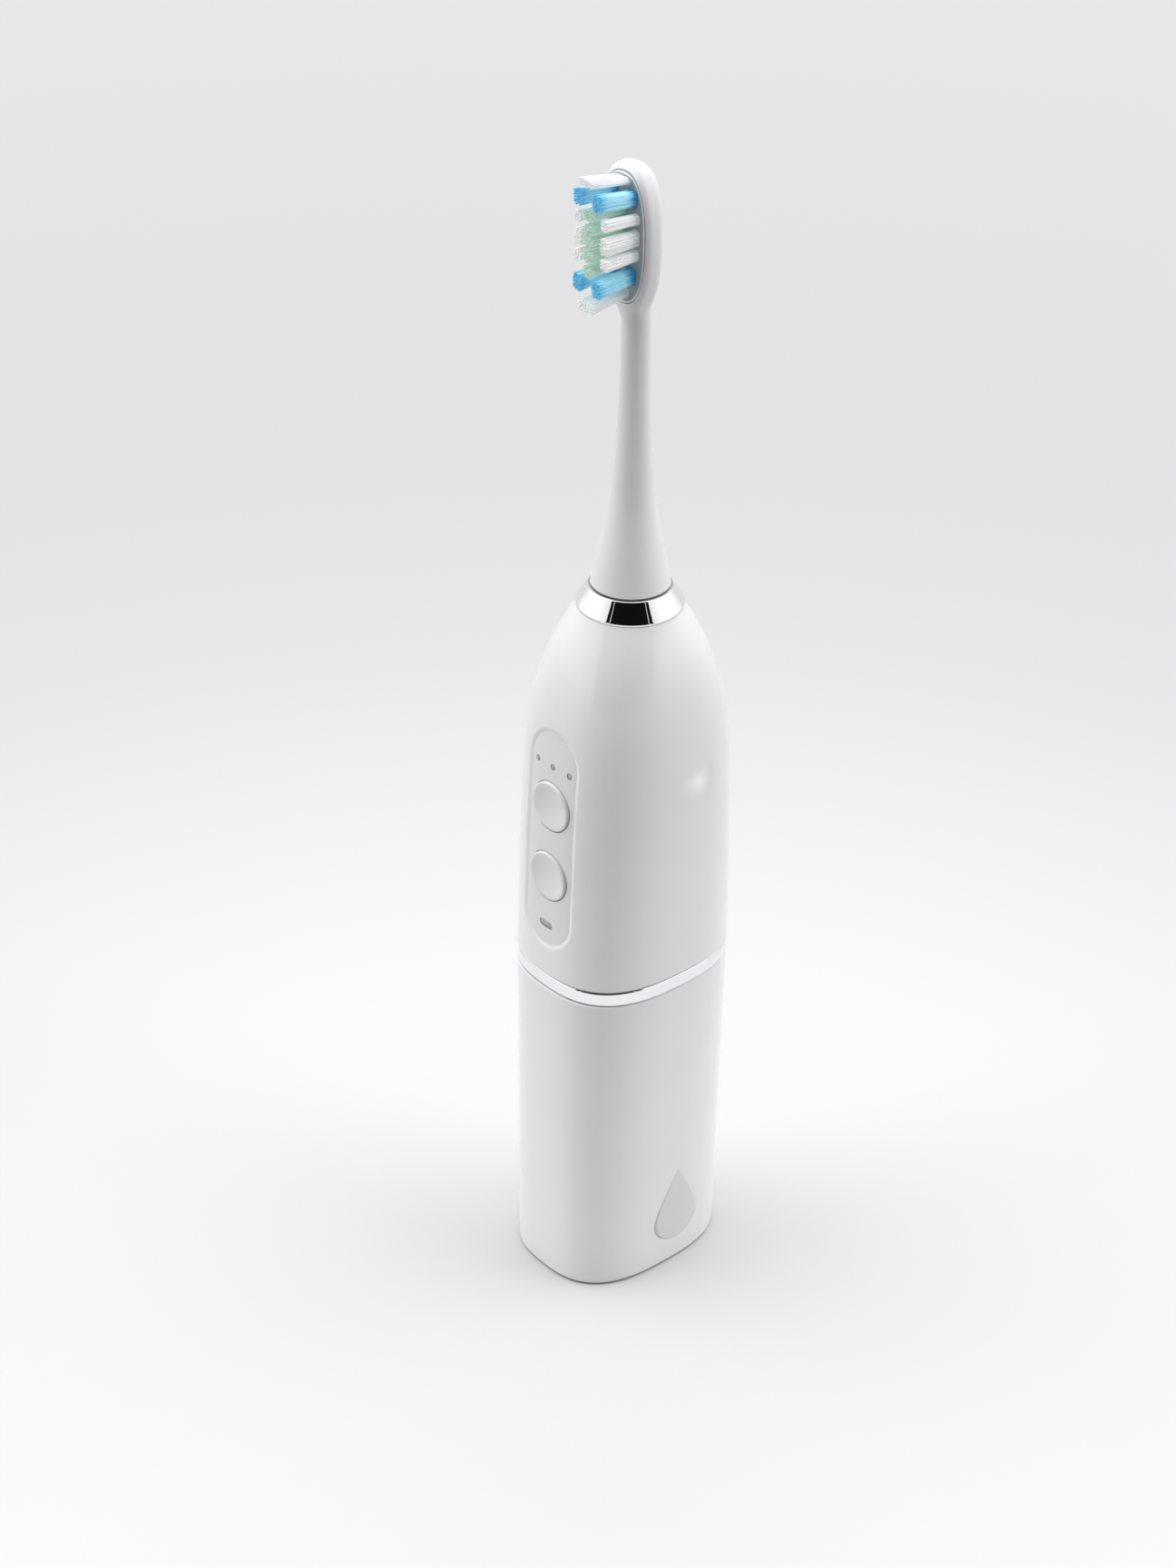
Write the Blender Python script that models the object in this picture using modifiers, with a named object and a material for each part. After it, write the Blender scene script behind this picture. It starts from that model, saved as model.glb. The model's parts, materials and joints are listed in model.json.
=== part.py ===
"""Electric toothbrush standing in its charging dock.

Metres, +Z up. The buttons and the bristles face -Y, and the charging socket faces +Y.
The origin is on the ground under the middle of the dock.
The handle's slim shank stands in the dock's well, and its chrome band rests on the dock's rim.
"""

import math

import bmesh
import bpy
from mathutils import Matrix, Vector

MM = 0.001

# ---------------------------------------------------------------- driving sizes
GAP = 0.3 * MM  # left between two pieces that touch
SLIDE = 0.45 * MM  # left between two pieces that slide
WALL = 1.8 * MM  # dock shell and upper shell
THIN_WALL = 1.3 * MM  # shank and well

# Outer section of the dock and of the handle: half sizes and roundness of a superellipse.
DOCK_FOOT_HALF = (15.6 * MM, 20.0 * MM)
DOCK_RIM_HALF = (16.7 * MM, 20.2 * MM)
DOCK_POWER = 2.75
HANDLE_HALF = (17.2 * MM, 20.2 * MM)
HANDLE_TAPER = (0.6 * MM, 2.5 * MM)
HANDLE_POWER = 2.68
BAND_INSET = 0.15 * MM

# Heights of the stack, from the ground up.
SHELL_LIFT = 0.4 * MM
FOOT_THICKNESS = 1.0 * MM
BASE_THICKNESS = 2.0 * MM
BALLAST_THICKNESS = 5.0 * MM
BOARD_THICKNESS = 1.0 * MM
FERRITE_THICKNESS = 1.0 * MM
COIL_HEIGHT = 1.5 * MM
SOCKET_HEIGHT = 3.2 * MM
BATTERY_LENGTH = 50.0 * MM
BATTERY_RADIUS = 7.0 * MM
BATTERY_HEADROOM = 3.15 * MM
BAND_HEIGHT = 2.9 * MM
FLANGE_THICKNESS = 1.4 * MM
UPPER_SHELL_HEIGHT = 73.6 * MM
SHOULDER_HEIGHT = 49.0 * MM
RING_HEIGHT = 3.7 * MM
RING_RADIUS = 10.05 * MM
RING_EDGE = 0.25 * MM
RING_LIP = 0.4 * MM  # top rim of the neck ring beyond the neck
HEAD_LENGTH = 80.3 * MM

# Coils that hand the charge over, one in the dock and one in the shank.
COIL_INNER = 4.0 * MM
COIL_OUTER = 9.0 * MM

# Screw posts of the dock.
POST_PLACE = (7.6 * MM, 10.8 * MM)
POST_RADIUS = 2.1 * MM
SCREW_RADIUS = 0.85 * MM
SCREW_HEAD_RADIUS = 1.7 * MM
SCREW_HEAD_HEIGHT = 0.9 * MM
SCREW_LENGTH = 6.5 * MM

# Charging socket at the back of the dock.
SOCKET_WIDTH = 8.9 * MM
SOCKET_DEPTH = 7.3 * MM
SOCKET_WALL = 0.3 * MM
TONGUE_THICKNESS = 0.7 * MM
SOCKET_RECESS = 0.9 * MM

# Control pad and what comes through it; heights count from the upper shell's bottom edge.
PAD_BOTTOM = 5.6 * MM
PAD_LENGTH = 47.2 * MM
PAD_WIDTH = 14.2 * MM
PAD_SUNK = 0.35 * MM  # the pad's face lies this far inside the shell's surface
PAD_THICKNESS = 0.45 * MM
BUTTON_RADIUS = 5.0 * MM
BUTTON_HEIGHTS = {"mode_button": 21.5 * MM, "power_button": 36.7 * MM}
BUTTON_TRAVEL = 0.6 * MM
BUTTON_FLANGE = 0.75 * MM
FLANGE_REACH = 0.75 * MM
STEM_PROUD = 0.5 * MM
BUTTON_DISH = 0.5 * MM
BUTTON_EDGE = 0.35 * MM
SWITCH_HEIGHT = 1.2 * MM
SWITCH_SIDE = 4.4 * MM
STEM_RADIUS = 1.2 * MM
LAMP_HEIGHT = 45.1 * MM
LAMP_PITCH = 4.45 * MM
LAMP_RADIUS = 0.6 * MM
CHARGE_LAMP_HEIGHT = 10.8 * MM
CHARGE_LAMP_WIDTH = 3.6 * MM
CHARGE_LAMP_THICKNESS = 1.3 * MM
BOARD_WIDTH = 12.6 * MM

# Rubber seal round the shaft, and the spigot that centres the neck ring.
SEAL_WALL = 3.2 * MM
SPIGOT_DEPTH = 3.2 * MM

# Motor and the shaft that carries the brush head.
SHAFT_RADIUS = 1.5 * MM
SHAFT_ABOVE_RING = 18.3 * MM
FLAT_LENGTH = 12.0 * MM
FLAT_DEPTH = 0.5 * MM
MOTOR_RADIUS = 7.5 * MM
MOTOR_LENGTH = 18.0 * MM
MOTOR_BELOW_TOP = 6.4 * MM
CAN_WALL = 0.6 * MM
BEARING_RADIUS = 3.5 * MM
BEARING_HEIGHT = 2.0 * MM
CLIP_WIDTH = 3.0 * MM
CLIP_WALL = 1.3 * MM
CHASSIS_THICKNESS = 1.0 * MM
TORSION_BAR = (0.6 * MM, 3.0 * MM, 10.0 * MM)

# Brush head; heights count from the head's lower edge, depths from the shaft's axis.
NECK_RADII = (
    (0.0, 7.44), (3.6, 6.71), (7.2, 5.99), (10.8, 5.23), (14.4, 4.56), (18.0, 4.08), (22.5, 3.68),
    (29.0, 3.26), (38.0, 2.86), (50.0, 2.67),
)
OVAL_LENGTH = 26.4 * MM
OVAL_HALF_WIDTH = 6.6 * MM
OVAL_FRONT = 4.1 * MM
OVAL_BACK = 1.9 * MM
OVAL_MIDDLE = 1.5 * MM
OVAL_POWER = 2.4
PLATE_RIM_SIDE = 0.8 * MM
PLATE_RIM_END = 1.5 * MM
PLATE_SUNK = 0.3 * MM
PLATE_THICKNESS = 1.4 * MM
MAT_THICKNESS = 0.3 * MM
MAT_INSET = 0.2 * MM
TUFT_GAP = 0.15 * MM
SLEEVE_WALL = 0.7 * MM
SLEEVE_LENGTH = 11.0 * MM
SKIRT_RADIUS = 5.7 * MM
SKIRT_DEPTH = 4.6 * MM

# Tufts: side place, height above the oval's middle, half width, half height, free length.
WHITE_TUFTS = [
    (side * 3.4 * MM, height * MM, 0.95 * MM, half * MM, 6.9 * MM)
    for side in (-1, 1)
    for height, half in ((4.2, 1.0), (0.85, 1.45), (-2.2, 1.0))
]
WHITE_TUFTS += [(0.0, 10.3 * MM, 2.0 * MM, 0.72 * MM, 8.0 * MM), (0.0, -9.7 * MM, 2.0 * MM, 0.9 * MM, 7.8 * MM)]
BLUE_TUFTS = [
    (side * 2.45 * MM, height * MM, 1.2 * MM, 1.45 * MM, 7.8 * MM)
    for side in (-1, 1)
    for height in (7.6, -6.2)
]
GREEN_TUFTS = [(0.0, (0.5 + 2.3 * step) * MM, 0.85 * MM, 0.9 * MM, 7.3 * MM) for step in (-2, -1, 0, 1, 2)]

SIDES = 40  # points round a large section
ROUND = 20  # steps of a turned piece

# ---------------------------------------------------------------- heights that follow
BASE_BOTTOM = FOOT_THICKNESS + GAP
BASE_TOP = BASE_BOTTOM + BASE_THICKNESS
BALLAST_BOTTOM = BASE_TOP + GAP
DOCK_BOARD_BOTTOM = BALLAST_BOTTOM + BALLAST_THICKNESS + GAP
SOCKET_BOTTOM = DOCK_BOARD_BOTTOM + BOARD_THICKNESS + GAP
DOCK_FERRITE_BOTTOM = SOCKET_BOTTOM + GAP
DOCK_COIL_BOTTOM = DOCK_FERRITE_BOTTOM + FERRITE_THICKNESS + GAP
WELL_BOTTOM = max(DOCK_COIL_BOTTOM + COIL_HEIGHT, SOCKET_BOTTOM + SOCKET_HEIGHT) + GAP
SHANK_BOTTOM = WELL_BOTTOM + THIN_WALL + SLIDE
SHANK_COIL_BOTTOM = SHANK_BOTTOM + THIN_WALL + GAP
SHANK_FERRITE_BOTTOM = SHANK_COIL_BOTTOM + COIL_HEIGHT + GAP
BATTERY_BOTTOM = SHANK_FERRITE_BOTTOM + FERRITE_THICKNESS + GAP
SHELL_BOTTOM = BATTERY_BOTTOM + BATTERY_LENGTH + BATTERY_HEADROOM
BAND_TOP = SHELL_BOTTOM - GAP
BAND_BOTTOM = BAND_TOP - BAND_HEIGHT
DOCK_RIM = BAND_BOTTOM - GAP
CHASSIS_BOTTOM = SHELL_BOTTOM + FLANGE_THICKNESS + GAP
SHELL_TOP = SHELL_BOTTOM + UPPER_SHELL_HEIGHT
RING_BOTTOM = SHELL_TOP + GAP
RING_TOP = RING_BOTTOM + RING_HEIGHT
HEAD_BOTTOM = RING_TOP + GAP
SHAFT_TOP = RING_TOP + SHAFT_ABOVE_RING
MOTOR_TOP = SHELL_TOP - MOTOR_BELOW_TOP
MOTOR_BOTTOM = MOTOR_TOP - MOTOR_LENGTH
CLIP_TOP = MOTOR_TOP - 5.0 * MM
BORE_RADIUS = SHAFT_RADIUS + GAP + SLEEVE_WALL + GAP
OVAL_CENTRE = HEAD_LENGTH - OVAL_LENGTH / 2

# Nested sections, from the outside in: dock shell, well, shank.
WELL_HALF = tuple(half - WALL - SLIDE for half in DOCK_FOOT_HALF)
WELL_HALF = (WELL_HALF[0], WELL_HALF[1] - 2.4 * MM)
SHANK_HALF = tuple(half - THIN_WALL - SLIDE for half in WELL_HALF)
SHANK_INNER = tuple(half - THIN_WALL for half in SHANK_HALF)
FLANGE_HALF = tuple(half - WALL - GAP for half in HANDLE_HALF)
GASKET_WIDTH = 1.0 * MM
FOOT_WIDTH = 2.0 * MM


# ---------------------------------------------------------------- materials
FINISHES = {
    "gloss_white": ((0.83, 0.83, 0.84), 0.22, 0.0),
    "satin_white": ((0.80, 0.80, 0.81), 0.45, 0.0),
    "soft_white": ((0.78, 0.78, 0.79), 0.55, 0.0),
    "clear_lens": ((0.45, 0.45, 0.46), 0.25, 0.0),
    "chrome": ((0.80, 0.81, 0.82), 0.05, 1.0),
    "steel": ((0.56, 0.57, 0.58), 0.30, 1.0),
    "copper": ((0.72, 0.40, 0.22), 0.35, 1.0),
    "ferrite": ((0.06, 0.06, 0.07), 0.60, 0.0),
    "rubber": ((0.55, 0.55, 0.56), 0.80, 0.0),
    "board": ((0.03, 0.20, 0.10), 0.50, 0.0),
    "battery_sleeve": ((0.10, 0.25, 0.55), 0.40, 0.0),
    "frame_plastic": ((0.20, 0.20, 0.22), 0.55, 0.0),
    "white_filament": ((0.88, 0.89, 0.90), 0.35, 0.0),
    "blue_filament": ((0.16, 0.52, 0.78), 0.35, 0.0),
    "green_filament": ((0.55, 0.80, 0.70), 0.35, 0.0),
}


def material(finish):
    """The finish's material, made the first time it is asked for."""
    found = bpy.data.materials.get(finish)
    if found:
        return found
    color, roughness, metallic = FINISHES[finish]
    made = bpy.data.materials.new(finish)
    made.use_nodes = True
    shader = made.node_tree.nodes["Principled BSDF"]
    shader.inputs["Base Color"].default_value = (*color, 1.0)
    shader.inputs["Roughness"].default_value = roughness
    shader.inputs["Metallic"].default_value = metallic
    return made


# ---------------------------------------------------------------- scene and objects
def clear_scene():
    for old in list(bpy.data.objects):
        bpy.data.objects.remove(old)
    for name in ("electric_toothbrush", "cutters"):
        collection = bpy.data.collections.new(name)
        bpy.context.scene.collection.children.link(collection)


def place(name, data, at, rotation=(0.0, 0.0, 0.0)):
    made = bpy.data.objects.new(name, data)
    made.location = at
    made.rotation_euler = rotation
    bpy.data.collections["electric_toothbrush"].objects.link(made)
    return made


def body(name, at):
    """An empty that the pieces of one moving body hang on, at the point its joint's axis passes through."""
    return place(name, None, at)


def finish(made, finish_name, parent):
    made.data.materials.clear()
    made.data.materials.append(material(finish_name))
    if made.type == "MESH" and made.data.polygons:
        made.data.shade_smooth()
        made.data.set_sharp_from_angle(angle=math.radians(35))
    bpy.context.view_layer.update()
    made.parent = parent
    made.matrix_parent_inverse = parent.matrix_world.inverted()
    return made


def helper(made):
    """Turns an object into a cutter, which isn't a piece."""
    bpy.data.collections["electric_toothbrush"].objects.unlink(made)
    bpy.data.collections["cutters"].objects.link(made)
    made.hide_render = True
    made.display_type = "WIRE"
    return made


def boolean(made, other, operation):
    modifier = made.modifiers.new(operation.lower() + "_" + other.name, "BOOLEAN")
    modifier.object = helper(other)
    modifier.operation = operation
    return made


def cut(made, *cutters):
    for cutter in cutters:
        boolean(made, cutter, "DIFFERENCE")
    return made


def join(made, *others):
    for other in others:
        boolean(made, other, "UNION")
    return made


# ---------------------------------------------------------------- outlines
def superellipse(half_x, half_y, power, sides=SIDES):
    """Points round |x/a|^n + |y/b|^n = 1, anticlockwise from +X."""
    points = []
    for step in range(sides):
        turn = 2 * math.pi * step / sides
        c, s = math.cos(turn), math.sin(turn)
        points.append((
            half_x * math.copysign(abs(c) ** (2 / power), c),
            half_y * math.copysign(abs(s) ** (2 / power), s),
        ))
    return points


def stadium(width, height, steps=8):
    """A bar with round ends, lying along X or standing along Y, whichever is longer."""
    radius = min(width, height) / 2
    reach_x, reach_y = width / 2 - radius, height / 2 - radius
    upright = height > width
    points = []
    for end in (0, 1):
        start = (0.0 if upright else -math.pi / 2) + end * math.pi
        sign = 1 - 2 * end
        for step in range(steps + 1):
            turn = start + math.pi * step / steps
            points.append((
                sign * reach_x + radius * math.cos(turn),
                sign * reach_y + radius * math.sin(turn),
            ))
    return points


def arc_band(inner, outer, middle, spread, steps=10):
    """A piece of a ring, seen along its axis."""
    turns = [middle + spread * (step / steps - 0.5) for step in range(steps + 1)]
    outside = [(outer * math.cos(turn), outer * math.sin(turn)) for turn in turns]
    inside = [(inner * math.cos(turn), inner * math.sin(turn)) for turn in reversed(turns)]
    return outside + inside


# ---------------------------------------------------------------- solids
def to_mesh(curve):
    """The curve's evaluated shape as a mesh object of the same name, with its caps welded."""
    bpy.context.view_layer.update()
    graph = bpy.context.evaluated_depsgraph_get()
    mesh = bpy.data.meshes.new_from_object(curve.evaluated_get(graph))
    shape = bmesh.new()
    shape.from_mesh(mesh)
    bmesh.ops.remove_doubles(shape, verts=shape.verts, dist=0.001 * MM)
    bmesh.ops.recalc_face_normals(shape, faces=shape.faces)
    shape.to_mesh(mesh)
    shape.free()
    name, matrix = curve.name, curve.matrix_world.copy()
    bpy.data.objects.remove(curve)
    made = place(name, mesh, (0, 0, 0))
    made.matrix_world = matrix
    return made


def prism(name, outlines, thickness, at, rotation=(0.0, 0.0, 0.0)):
    """A flat piece from its outline and the outlines of its holes; at is the middle of its lower face."""
    curve = bpy.data.curves.new(name, "CURVE")
    curve.dimensions = "2D"
    curve.fill_mode = "BOTH"
    curve.extrude = thickness / 2
    for outline in outlines:
        spline = curve.splines.new("POLY")
        spline.points.add(len(outline) - 1)
        for point, (x, y) in zip(spline.points, outline):
            point.co = (x, y, 0.0, 1.0)
        spline.use_cyclic_u = True
    made = to_mesh(place(name, curve, (0, 0, 0)))
    made.data.transform(made.matrix_world.Translation((0.0, 0.0, thickness / 2)))
    made.location = at
    made.rotation_euler = rotation
    return made


def box(name, low, high):
    """A box between two opposite corners."""
    low, high = Vector(low), Vector(high)
    mesh = bpy.data.meshes.new(name)
    shape = bmesh.new()
    bmesh.ops.create_cube(shape, size=1.0)
    bmesh.ops.scale(shape, vec=high - low, verts=shape.verts)
    shape.to_mesh(mesh)
    shape.free()
    return place(name, mesh, (low + high) / 2)


def cylinder(name, radius, length, at, rotation=(0.0, 0.0, 0.0), segments=ROUND):
    """A cylinder that stands on the point at."""
    mesh = bpy.data.meshes.new(name)
    shape = bmesh.new()
    matrix = Matrix.Translation((0.0, 0.0, length / 2)) @ Matrix.Rotation(math.pi / segments, 4, "Z")
    bmesh.ops.create_cone(
        shape, cap_ends=True, segments=segments, radius1=radius, radius2=radius, depth=length, matrix=matrix
    )
    shape.to_mesh(mesh)
    shape.free()
    return place(name, mesh, at, rotation)


def turned(name, profile, at, loop=False, rotation=(0.0, 0.0, 0.0), steps=ROUND):
    """A lathe shape: (radius, height) points that end on the axis, or a closed loop for a ring."""
    mesh = bpy.data.meshes.new(name)
    vertices = [(radius, 0.0, height) for radius, height in profile]
    edges = [(i, i + 1) for i in range(len(profile) - 1)]
    if loop:
        edges.append((len(profile) - 1, 0))
    mesh.from_pydata(vertices, edges, [])
    made = place(name, mesh, at, rotation)
    screw = made.modifiers.new("turn", "SCREW")
    screw.axis = "Z"
    screw.steps = steps
    screw.render_steps = steps
    screw.use_merge_vertices = True
    screw.merge_threshold = 0.00001
    screw.use_smooth_shade = False
    return made


def ring_solid(name, inner, outer, height, at, steps=ROUND):
    """A plain round ring that stands on the point at."""
    profile = [(inner, height), (outer, height), (outer, 0.0), (inner, 0.0)]
    return turned(name, profile, at, loop=True, steps=steps)


def loft(name, rings, at, ends="caps"):
    """A skin through rings of equally many points. ends is caps, open or, for a ring-shaped solid, loop."""
    mesh = bpy.data.meshes.new(name)
    shape = bmesh.new()
    rows = [[shape.verts.new(point) for point in ring] for ring in rings]
    pairs = list(zip(rows, rows[1:]))
    if ends == "loop":
        pairs.append((rows[-1], rows[0]))
    for lower, upper in pairs:
        for i in range(len(lower)):
            j = (i + 1) % len(lower)
            shape.faces.new((lower[i], lower[j], upper[j], upper[i]))
    if ends == "caps":
        shape.faces.new(tuple(reversed(rows[0])))
        shape.faces.new(tuple(rows[-1]))
    shape.to_mesh(mesh)
    shape.free()
    return place(name, mesh, at)


def section_ring(half, power, height, sides=SIDES):
    return [(x, y, height) for x, y in superellipse(half[0], half[1], power, sides)]


def inset(half, distance):
    return tuple(size - distance for size in half)


# ---------------------------------------------------------------- the handle's outer surface
def handle_section(height):
    """Half sizes and power of the upper shell's section at a height above its bottom edge."""
    rise = min(max((UPPER_SHELL_HEIGHT - height) / SHOULDER_HEIGHT, 0.0), 1.0)
    fullness = (1 - (1 - rise) ** 4.2) ** 1.1
    up = height / UPPER_SHELL_HEIGHT
    half = tuple(
        RING_RADIUS + (full - RING_RADIUS - taper * up) * fullness
        for full, taper in zip(HANDLE_HALF, HANDLE_TAPER)
    )
    return half, 2 + (HANDLE_POWER - 2) * fullness


def front_surface(x, height, depth=0.0):
    """The y of the shell's front at a side place and height, or of the surface that lies depth inside it."""
    half, power = handle_section(height)
    share = min(abs(x) / half[0], 0.999)
    return -(half[1] - depth) * (1 - share**power) ** (1 / power)


def front_patch(name, out, depth, half_width, low, high, columns=9, rows=11):
    """A slab that follows the shell's front, from out in front of the surface to depth behind it."""
    mesh = bpy.data.meshes.new(name)
    shape = bmesh.new()
    grid = []
    for row in range(rows + 1):
        height = low + (high - low) * row / rows
        line = []
        for column in range(columns + 1):
            x = half_width * (2 * column / columns - 1)
            line.append(shape.verts.new((x, front_surface(x, height) - out, height)))
        grid.append(line)
    for lower, upper in zip(grid, grid[1:]):
        for i in range(columns):
            shape.faces.new((lower[i], lower[i + 1], upper[i + 1], upper[i]))
    shape.to_mesh(mesh)
    shape.free()
    made = place(name, mesh, (0.0, 0.0, SHELL_BOTTOM))
    solid = made.modifiers.new("thickness", "SOLIDIFY")
    solid.thickness = out + depth
    solid.offset = -1.0
    return made


def pad_cutter(name, grow, out, depth):
    """The pad's stadium, grown all round, from out in front of the shell's surface to depth behind it."""
    slab = front_patch(
        name, out, depth, PAD_WIDTH / 2 + 1.2 * MM, PAD_BOTTOM - 1.2 * MM, PAD_BOTTOM + PAD_LENGTH + 1.2 * MM
    )
    outline = stadium(PAD_WIDTH + 2 * grow, PAD_LENGTH + 2 * grow, steps=12)
    reach = HANDLE_HALF[1] * 2
    middle = SHELL_BOTTOM + PAD_BOTTOM + PAD_LENGTH / 2
    punch = prism(name + "_outline", [outline], reach, (0.0, 0.0, middle), (math.pi / 2, 0.0, 0.0))
    boolean(slab, punch, "INTERSECT")
    return slab


def front_hole(name, outline, height, start=0.0):
    """A punch through the shell's front, with its outline in X and Z, that starts at y = -start."""
    reach = HANDLE_HALF[1] * 1.5
    return prism(name, [outline], reach, (0.0, -start, SHELL_BOTTOM + height), (math.pi / 2, 0.0, 0.0))


def circle(radius, sides=ROUND, x=0.0, y=0.0):
    turns = [2 * math.pi * (step + 0.5) / sides for step in range(sides)]
    return [(x + radius * math.cos(turn), y + radius * math.sin(turn)) for turn in turns]


def flange_depth(height):
    """How far behind a button's face its flange clears the curved wall all round."""
    reach = BUTTON_RADIUS + FLANGE_REACH
    face = front_surface(0.0, height)
    turns = [2 * math.pi * step / ROUND for step in range(ROUND)]
    rim = [front_surface(reach * math.cos(turn), height + reach * math.sin(turn)) for turn in turns]
    return max(rim) - face + WALL + GAP


# Distances of the pad's pieces in front of the handle's middle plane.
STEM_END = min(
    -front_surface(0.0, height) - flange_depth(height) - BUTTON_FLANGE for height in BUTTON_HEIGHTS.values()
) - STEM_PROUD
SWITCH_TOP = STEM_END - BUTTON_TRAVEL - GAP
BOARD_FRONT = SWITCH_TOP - SWITCH_HEIGHT - GAP
BOARD_BACK = BOARD_FRONT - BOARD_THICKNESS
CHASSIS_FRONT = BOARD_BACK - GAP
CHASSIS_BACK = CHASSIS_FRONT - CHASSIS_THICKNESS
BOARD_BOTTOM = PAD_BOTTOM + 2.4 * MM
BOARD_TOP = LAMP_HEIGHT + 1.7 * MM


# ---------------------------------------------------------------- dock
def make_dock_shell(parent):
    height = DOCK_RIM - SHELL_LIFT
    rings = [
        section_ring(DOCK_FOOT_HALF, DOCK_POWER, 0.0),
        section_ring(DOCK_RIM_HALF, DOCK_POWER, height),
    ]
    shell = loft("dock_shell", rings, (0.0, 0.0, SHELL_LIFT), ends="open")
    solid = shell.modifiers.new("wall", "SOLIDIFY")
    solid.thickness = WALL
    solid.offset = -1.0
    solid.use_even_offset = True
    middle = SOCKET_BOTTOM + SOCKET_HEIGHT / 2
    window = stadium(SOCKET_WIDTH + 2 * GAP, SOCKET_HEIGHT + 2 * GAP)
    turn = (-math.pi / 2, 0.0, 0.0)
    cut(
        shell,
        prism("socket_window", [window], WALL * 4, (0.0, DOCK_FOOT_HALF[1] - WALL * 2, middle), turn),
    )
    return finish(shell, "gloss_white", parent)


def make_dock_well(parent):
    """A flanged cup for the shank, with the posts that the base screws enter."""
    depth = DOCK_RIM - WELL_BOTTOM
    inner = inset(WELL_HALF, THIN_WALL)
    flange = inset(DOCK_FOOT_HALF, WALL + GAP)
    below_flange = depth - FLANGE_THICKNESS
    outline = [
        (WELL_HALF, 0.0), (WELL_HALF, below_flange), (flange, below_flange), (flange, depth),
        (inner, depth), (inner, THIN_WALL),
    ]
    rings = [section_ring(half, DOCK_POWER, height) for half, height in outline]
    well = loft("dock_well", rings, (0.0, 0.0, WELL_BOTTOM))
    post_bottom = BASE_TOP + GAP
    for number, (x, y) in enumerate(post_places(), 1):
        length = WELL_BOTTOM + THIN_WALL / 2 - post_bottom
        post = cylinder(f"post_{number}", POST_RADIUS, length, (x, y, post_bottom), segments=16)
        join(well, post)
    for number, (x, y) in enumerate(post_places(), 1):
        depth_of_pilot = SCREW_LENGTH + GAP
        hole = cylinder(
            f"pilot_{number}", SCREW_RADIUS + GAP, depth_of_pilot, (x, y, post_bottom - GAP), segments=12
        )
        cut(well, hole)
    return finish(well, "satin_white", parent)


def post_places():
    return [(x * POST_PLACE[0], y * POST_PLACE[1]) for x in (-1, 1) for y in (-1, 1)]


def make_dock_base(parent):
    outline = superellipse(*inset(DOCK_FOOT_HALF, WALL + GAP), DOCK_POWER)
    base = prism("dock_base", [outline], BASE_THICKNESS, (0.0, 0.0, BASE_BOTTOM))
    for number, (x, y) in enumerate(post_places(), 1):
        sink = SCREW_HEAD_HEIGHT + GAP
        sink_at = (x, y, BASE_BOTTOM - sink)
        way_at = (x, y, BASE_BOTTOM - BASE_THICKNESS)
        cut(
            base,
            cylinder(f"head_sink_{number}", SCREW_HEAD_RADIUS + GAP, 2 * sink, sink_at, segments=12),
            cylinder(f"screw_way_{number}", SCREW_RADIUS + GAP, 3 * BASE_THICKNESS, way_at, segments=12),
        )
    return finish(base, "satin_white", parent)


def make_base_screws(parent):
    for number, (x, y) in enumerate(post_places(), 1):
        profile = [
            (0.0, SCREW_LENGTH), (SCREW_RADIUS * 0.5, SCREW_LENGTH),
            (SCREW_RADIUS, SCREW_LENGTH - SCREW_RADIUS),
            (SCREW_RADIUS, SCREW_HEAD_HEIGHT), (SCREW_HEAD_RADIUS, SCREW_HEAD_HEIGHT),
            (SCREW_HEAD_RADIUS, 0.2 * MM), (SCREW_HEAD_RADIUS - 0.2 * MM, 0.0), (0.0, 0.0),
        ]
        screw = turned(f"base_screw_{number}", profile, (x, y, BASE_BOTTOM), steps=10)
        finish(screw, "steel", parent)


def make_foot_pad(parent):
    outer = inset(DOCK_FOOT_HALF, WALL + GAP)
    outlines = [superellipse(*outer, DOCK_POWER), superellipse(*inset(outer, FOOT_WIDTH), DOCK_POWER)]
    return finish(prism("foot_pad", outlines, FOOT_THICKNESS, (0.0, 0.0, 0.0)), "rubber", parent)


def make_ballast(parent):
    outer = superellipse(*inset(DOCK_FOOT_HALF, WALL + 2 * GAP), DOCK_POWER)
    holes = [circle(POST_RADIUS + GAP, 16, x, y) for x, y in post_places()]
    ballast = prism("dock_ballast", [outer] + holes, BALLAST_THICKNESS, (0.0, 0.0, BALLAST_BOTTOM))
    return finish(ballast, "steel", parent)


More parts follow.
